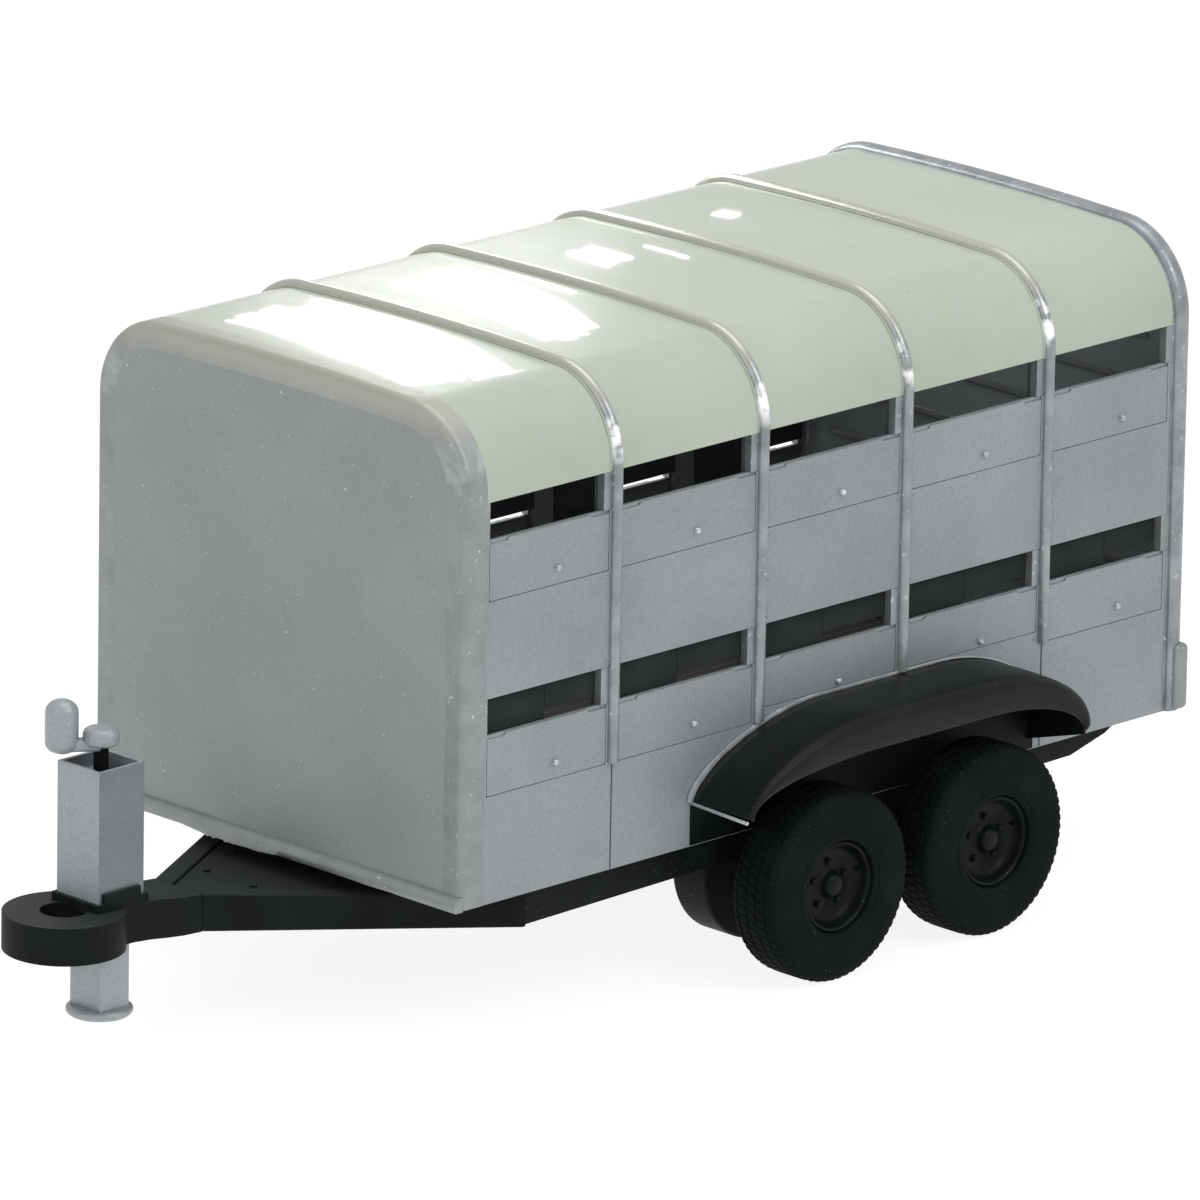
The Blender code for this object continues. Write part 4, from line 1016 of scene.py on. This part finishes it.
def prop_stand():
    tube = refined("stand_sleeve", "stand_outer_tube", "stand_zinc", bevel=0.0060, segments=4)
    # The tube's +X face takes the darker copy of the zinc: painted shade on that side.
    tube.data.materials.append(MATERIALS["stand_zinc_shaded_side"])
    for face in tube.data.polygons:
        if face.normal.x > 0.9:
            face.material_index = 1
    refined("stand_leg", "stand_inner_leg", "stand_zinc", "prop_leg", bevel=0.004, segments=3, sharp=40)
    foot = [(0, -0.384), (0.070, -0.384), (0.100, -0.3865), (0.112, -0.3885), (0.1185, -0.3935),
            (0.1198, -0.400), (0.1185, -0.4065), (0.112, -0.4125), (0.104, -0.4165), (0.090, -0.4185),
            (0, -0.4190)]
    centre = (0, STAND_Y, 0)
    piece("stand_foot_dish", lathe(foot, "Z", centre, 64), "stand_zinc", "prop_leg", sharp=50)

    screw = [(0, -0.129)]
    for i in range(58):
        z = -0.128 + i * 0.0095
        screw += [(0.0158, z), (0.0132, z + 0.0047)]
    screw.append((0, 0.4335))
    piece("stand_screw_thread", lathe(screw, "Z", centre, 24), "frame_black", "prop_crank",
          ("stand_screw",), sharp=60)

    # The shaft is near black: painted shade for the shadowed hollow at the sleeve's top.
    shaft = [(0, 0.4345), (0.0268, 0.4345), (0.0268, 0.572), (0, 0.572)]
    piece("crank_shaft", lathe(shaft, "Z", centre, 32), "hollow_painted_shade", "prop_crank", ("stand_crank",),
          sharp=40)
    boss = [(0, 0.5705), (0.050, 0.5705), (0.060, 0.5745), (0.0655, 0.584), (0.0658, 0.602),
            (0.0650, 0.614), (0.060, 0.6245), (0.050, 0.6310), (0.030, 0.6318), (0, 0.6318)]
    piece("crank_boss", lathe(boss, "Z", centre, 48), "stand_zinc", "prop_crank", sharp=60)

    start, reach = Vector((0, STAND_Y)), Vector((-0.085, -0.110))
    along = reach.normalized()
    across = Vector((along[1], -along[0])) * 0.0335
    end = start + reach
    outline = [tuple(p) for p in (start + across, end + across, end - across, start - across)]
    piece("crank_arm", prism(outline, "Z", 0.5505, 0.5915), "stand_zinc", "prop_crank", bevel=0.014,
          segments=5)
    radius = 0.0595
    grip = arc(0, 0.5805, radius, -pi / 2, 0, 12, 0.040)
    grip += arc(0, 0.6925, radius, 0, pi / 2, 12, 0.047)
    piece("crank_grip", lathe(grip, "Z", (end[0], end[1], 0), 48), "stand_zinc", "prop_crank", sharp=60)


# ---------------------------------------------------------------- stage, camera and lights
def turned(right, up, back):
    """A rotation from the three axes of a camera or light, which looks along -back."""
    return Matrix((right, up, back)).transposed()


def view_axes():
    back = Vector((sin(VIEW_AZIMUTH) * cos(VIEW_ELEVATION),
                   -cos(VIEW_AZIMUTH) * cos(VIEW_ELEVATION), sin(VIEW_ELEVATION)))
    right = Vector((cos(VIEW_AZIMUTH), sin(VIEW_AZIMUTH), 0))
    return right, back.cross(right), back


def camera():
    """The reference view: from the front left, a little above, through a long lens."""
    right, up, back = view_axes()
    roll = cos(VIEW_ROLL), sin(VIEW_ROLL)
    data = bpy.data.cameras.new("view_camera")
    data.sensor_width = 36
    data.lens = 452.6
    data.clip_start, data.clip_end = 1.0, 400
    made = added("view_camera", data)
    facing = turned(right * roll[0] + up * roll[1], up * roll[0] - right * roll[1], back)
    made.matrix_world = Matrix.Translation(place(36.964, -35.241, 16.326)) @ facing.to_4x4()
    bpy.context.scene.camera = made


def area(name, at, towards, size, power, tall=None):
    data = bpy.data.lights.new(name, 'AREA')
    data.shape = 'RECTANGLE'
    data.size = size
    data.size_y = tall or size
    data.energy = power
    made = added(name, data)
    made.location = at
    made.rotation_mode = 'QUATERNION'
    made.rotation_quaternion = (Vector(towards) - Vector(at)).to_track_quat('-Z', 'Y')
    return made


def roof_glints():
    """Lights seen only as reflections, broken into strips of uneven length."""
    _, _, back = view_axes()
    mirrored = Vector((-back.x, -back.y, back.z))
    for x, y, wide, long, turn, strips in ROOF_GLINTS:
        facing = Matrix.Rotation(radians(turn), 4, 'Z')
        target = place(x, y, SHOULDER_TOP)
        for k in range(strips):
            shift = Vector((random.uniform(-0.06, 0.06) * wide, long * ((k + 0.5) / strips - 0.5), 0))
            length = wide * random.uniform(0.84, 1.0)
            tall = long / strips * (random.uniform(0.72, 0.94) if strips > 1 else 1)
            at = target + mirrored * GLINT_DISTANCE + facing @ shift
            glint = area("roof_glint", at, target, length, GLINT_POWER * length * tall, tall=tall)
            glint.rotation_quaternion = facing.to_quaternion()
            glint.visible_diffuse = False
            glint.visible_camera = False


def stage_object(name, mesh, colour, emission):
    finish = Surface(f"{name}_finish")
    finish.settings(Base_Color=colour, Roughness=1.0, Specular_IOR_Level=0.0,
                    Emission_Color=WHITE, Emission_Strength=emission)
    mesh.materials.append(finish.made)
    made = added(name, mesh)
    return made


def stage():
    floor_half, backdrop_radius = 150, 145
    ground = bpy.data.meshes.new("floor_stage")
    corners = [(a * floor_half, b * floor_half, 0) for a, b in ((-1, -1), (1, -1), (1, 1), (-1, 1))]
    ground.from_pydata(corners, [], [(0, 1, 2, 3)])
    stage_object("floor_stage", ground, (0.20, 0.20, 0.20), 0.88)

    world = bpy.data.worlds.new("studio")
    world.use_nodes = True
    sky = world.node_tree.nodes["Background"]
    sky.inputs["Color"].default_value = (1.0, 1.0, 1.0, 1)
    sky.inputs["Strength"].default_value = 0.85
    bpy.context.scene.world = world
    bpy.context.scene.view_settings.view_transform = 'Standard'

    area("key_right", (7.5, 1.0, 7.5), (0, 0, 1.0), 5.0, 260)
    area("front_fill", (1.5, -10.0, 5.0), (0, 0, 1.0), 5.0, 90)
    area("overhead", (0, 0.5, 9.0), (0, 0.5, 1.0), 6.0, 200)
    inside = area("inner_glow", place(0, 1.83, 1.70), place(0, 1.83, 0), 1.1, 12, tall=3.2)
    inside.visible_camera = False
    inside.visible_glossy = False
    roof_glints()

    walls = bpy.data.meshes.new("backdrop_stage")
    edited(walls, lambda work: bmesh.ops.create_uvsphere(work, u_segments=48, v_segments=24,
                                                         radius=backdrop_radius))
    backdrop = stage_object("backdrop_stage", walls, BLACK, 1.0)
    for kind in ("diffuse", "glossy", "transmission", "volume_scatter", "shadow"):
        setattr(backdrop, f"visible_{kind}", False)


# ---------------------------------------------------------------- build everything
camera()
stage()
front_wall()
for number in range(1, BAYS):
    rib_hoop(number)
rear_portal()
roof()
side_planks()
for side_name, side_sign in SIDES:
    for row_name in ("lower", "middle"):
        for bay_number in range(BAYS):
            vent_flap(side_name, side_sign, row_name, bay_number)
ramp()
inner_rails()
floor()
for side_name, side_sign in SIDES:
    mudguard(side_name, side_sign)
    suspension(side_name, side_sign)
for axle_name, axle_y in AXLES:
    axle(axle_name, axle_y)
    for side_name, side_sign in SIDES:
        wheel(axle_name, side_name, side_sign, axle_y)
drawbar()
prop_stand()
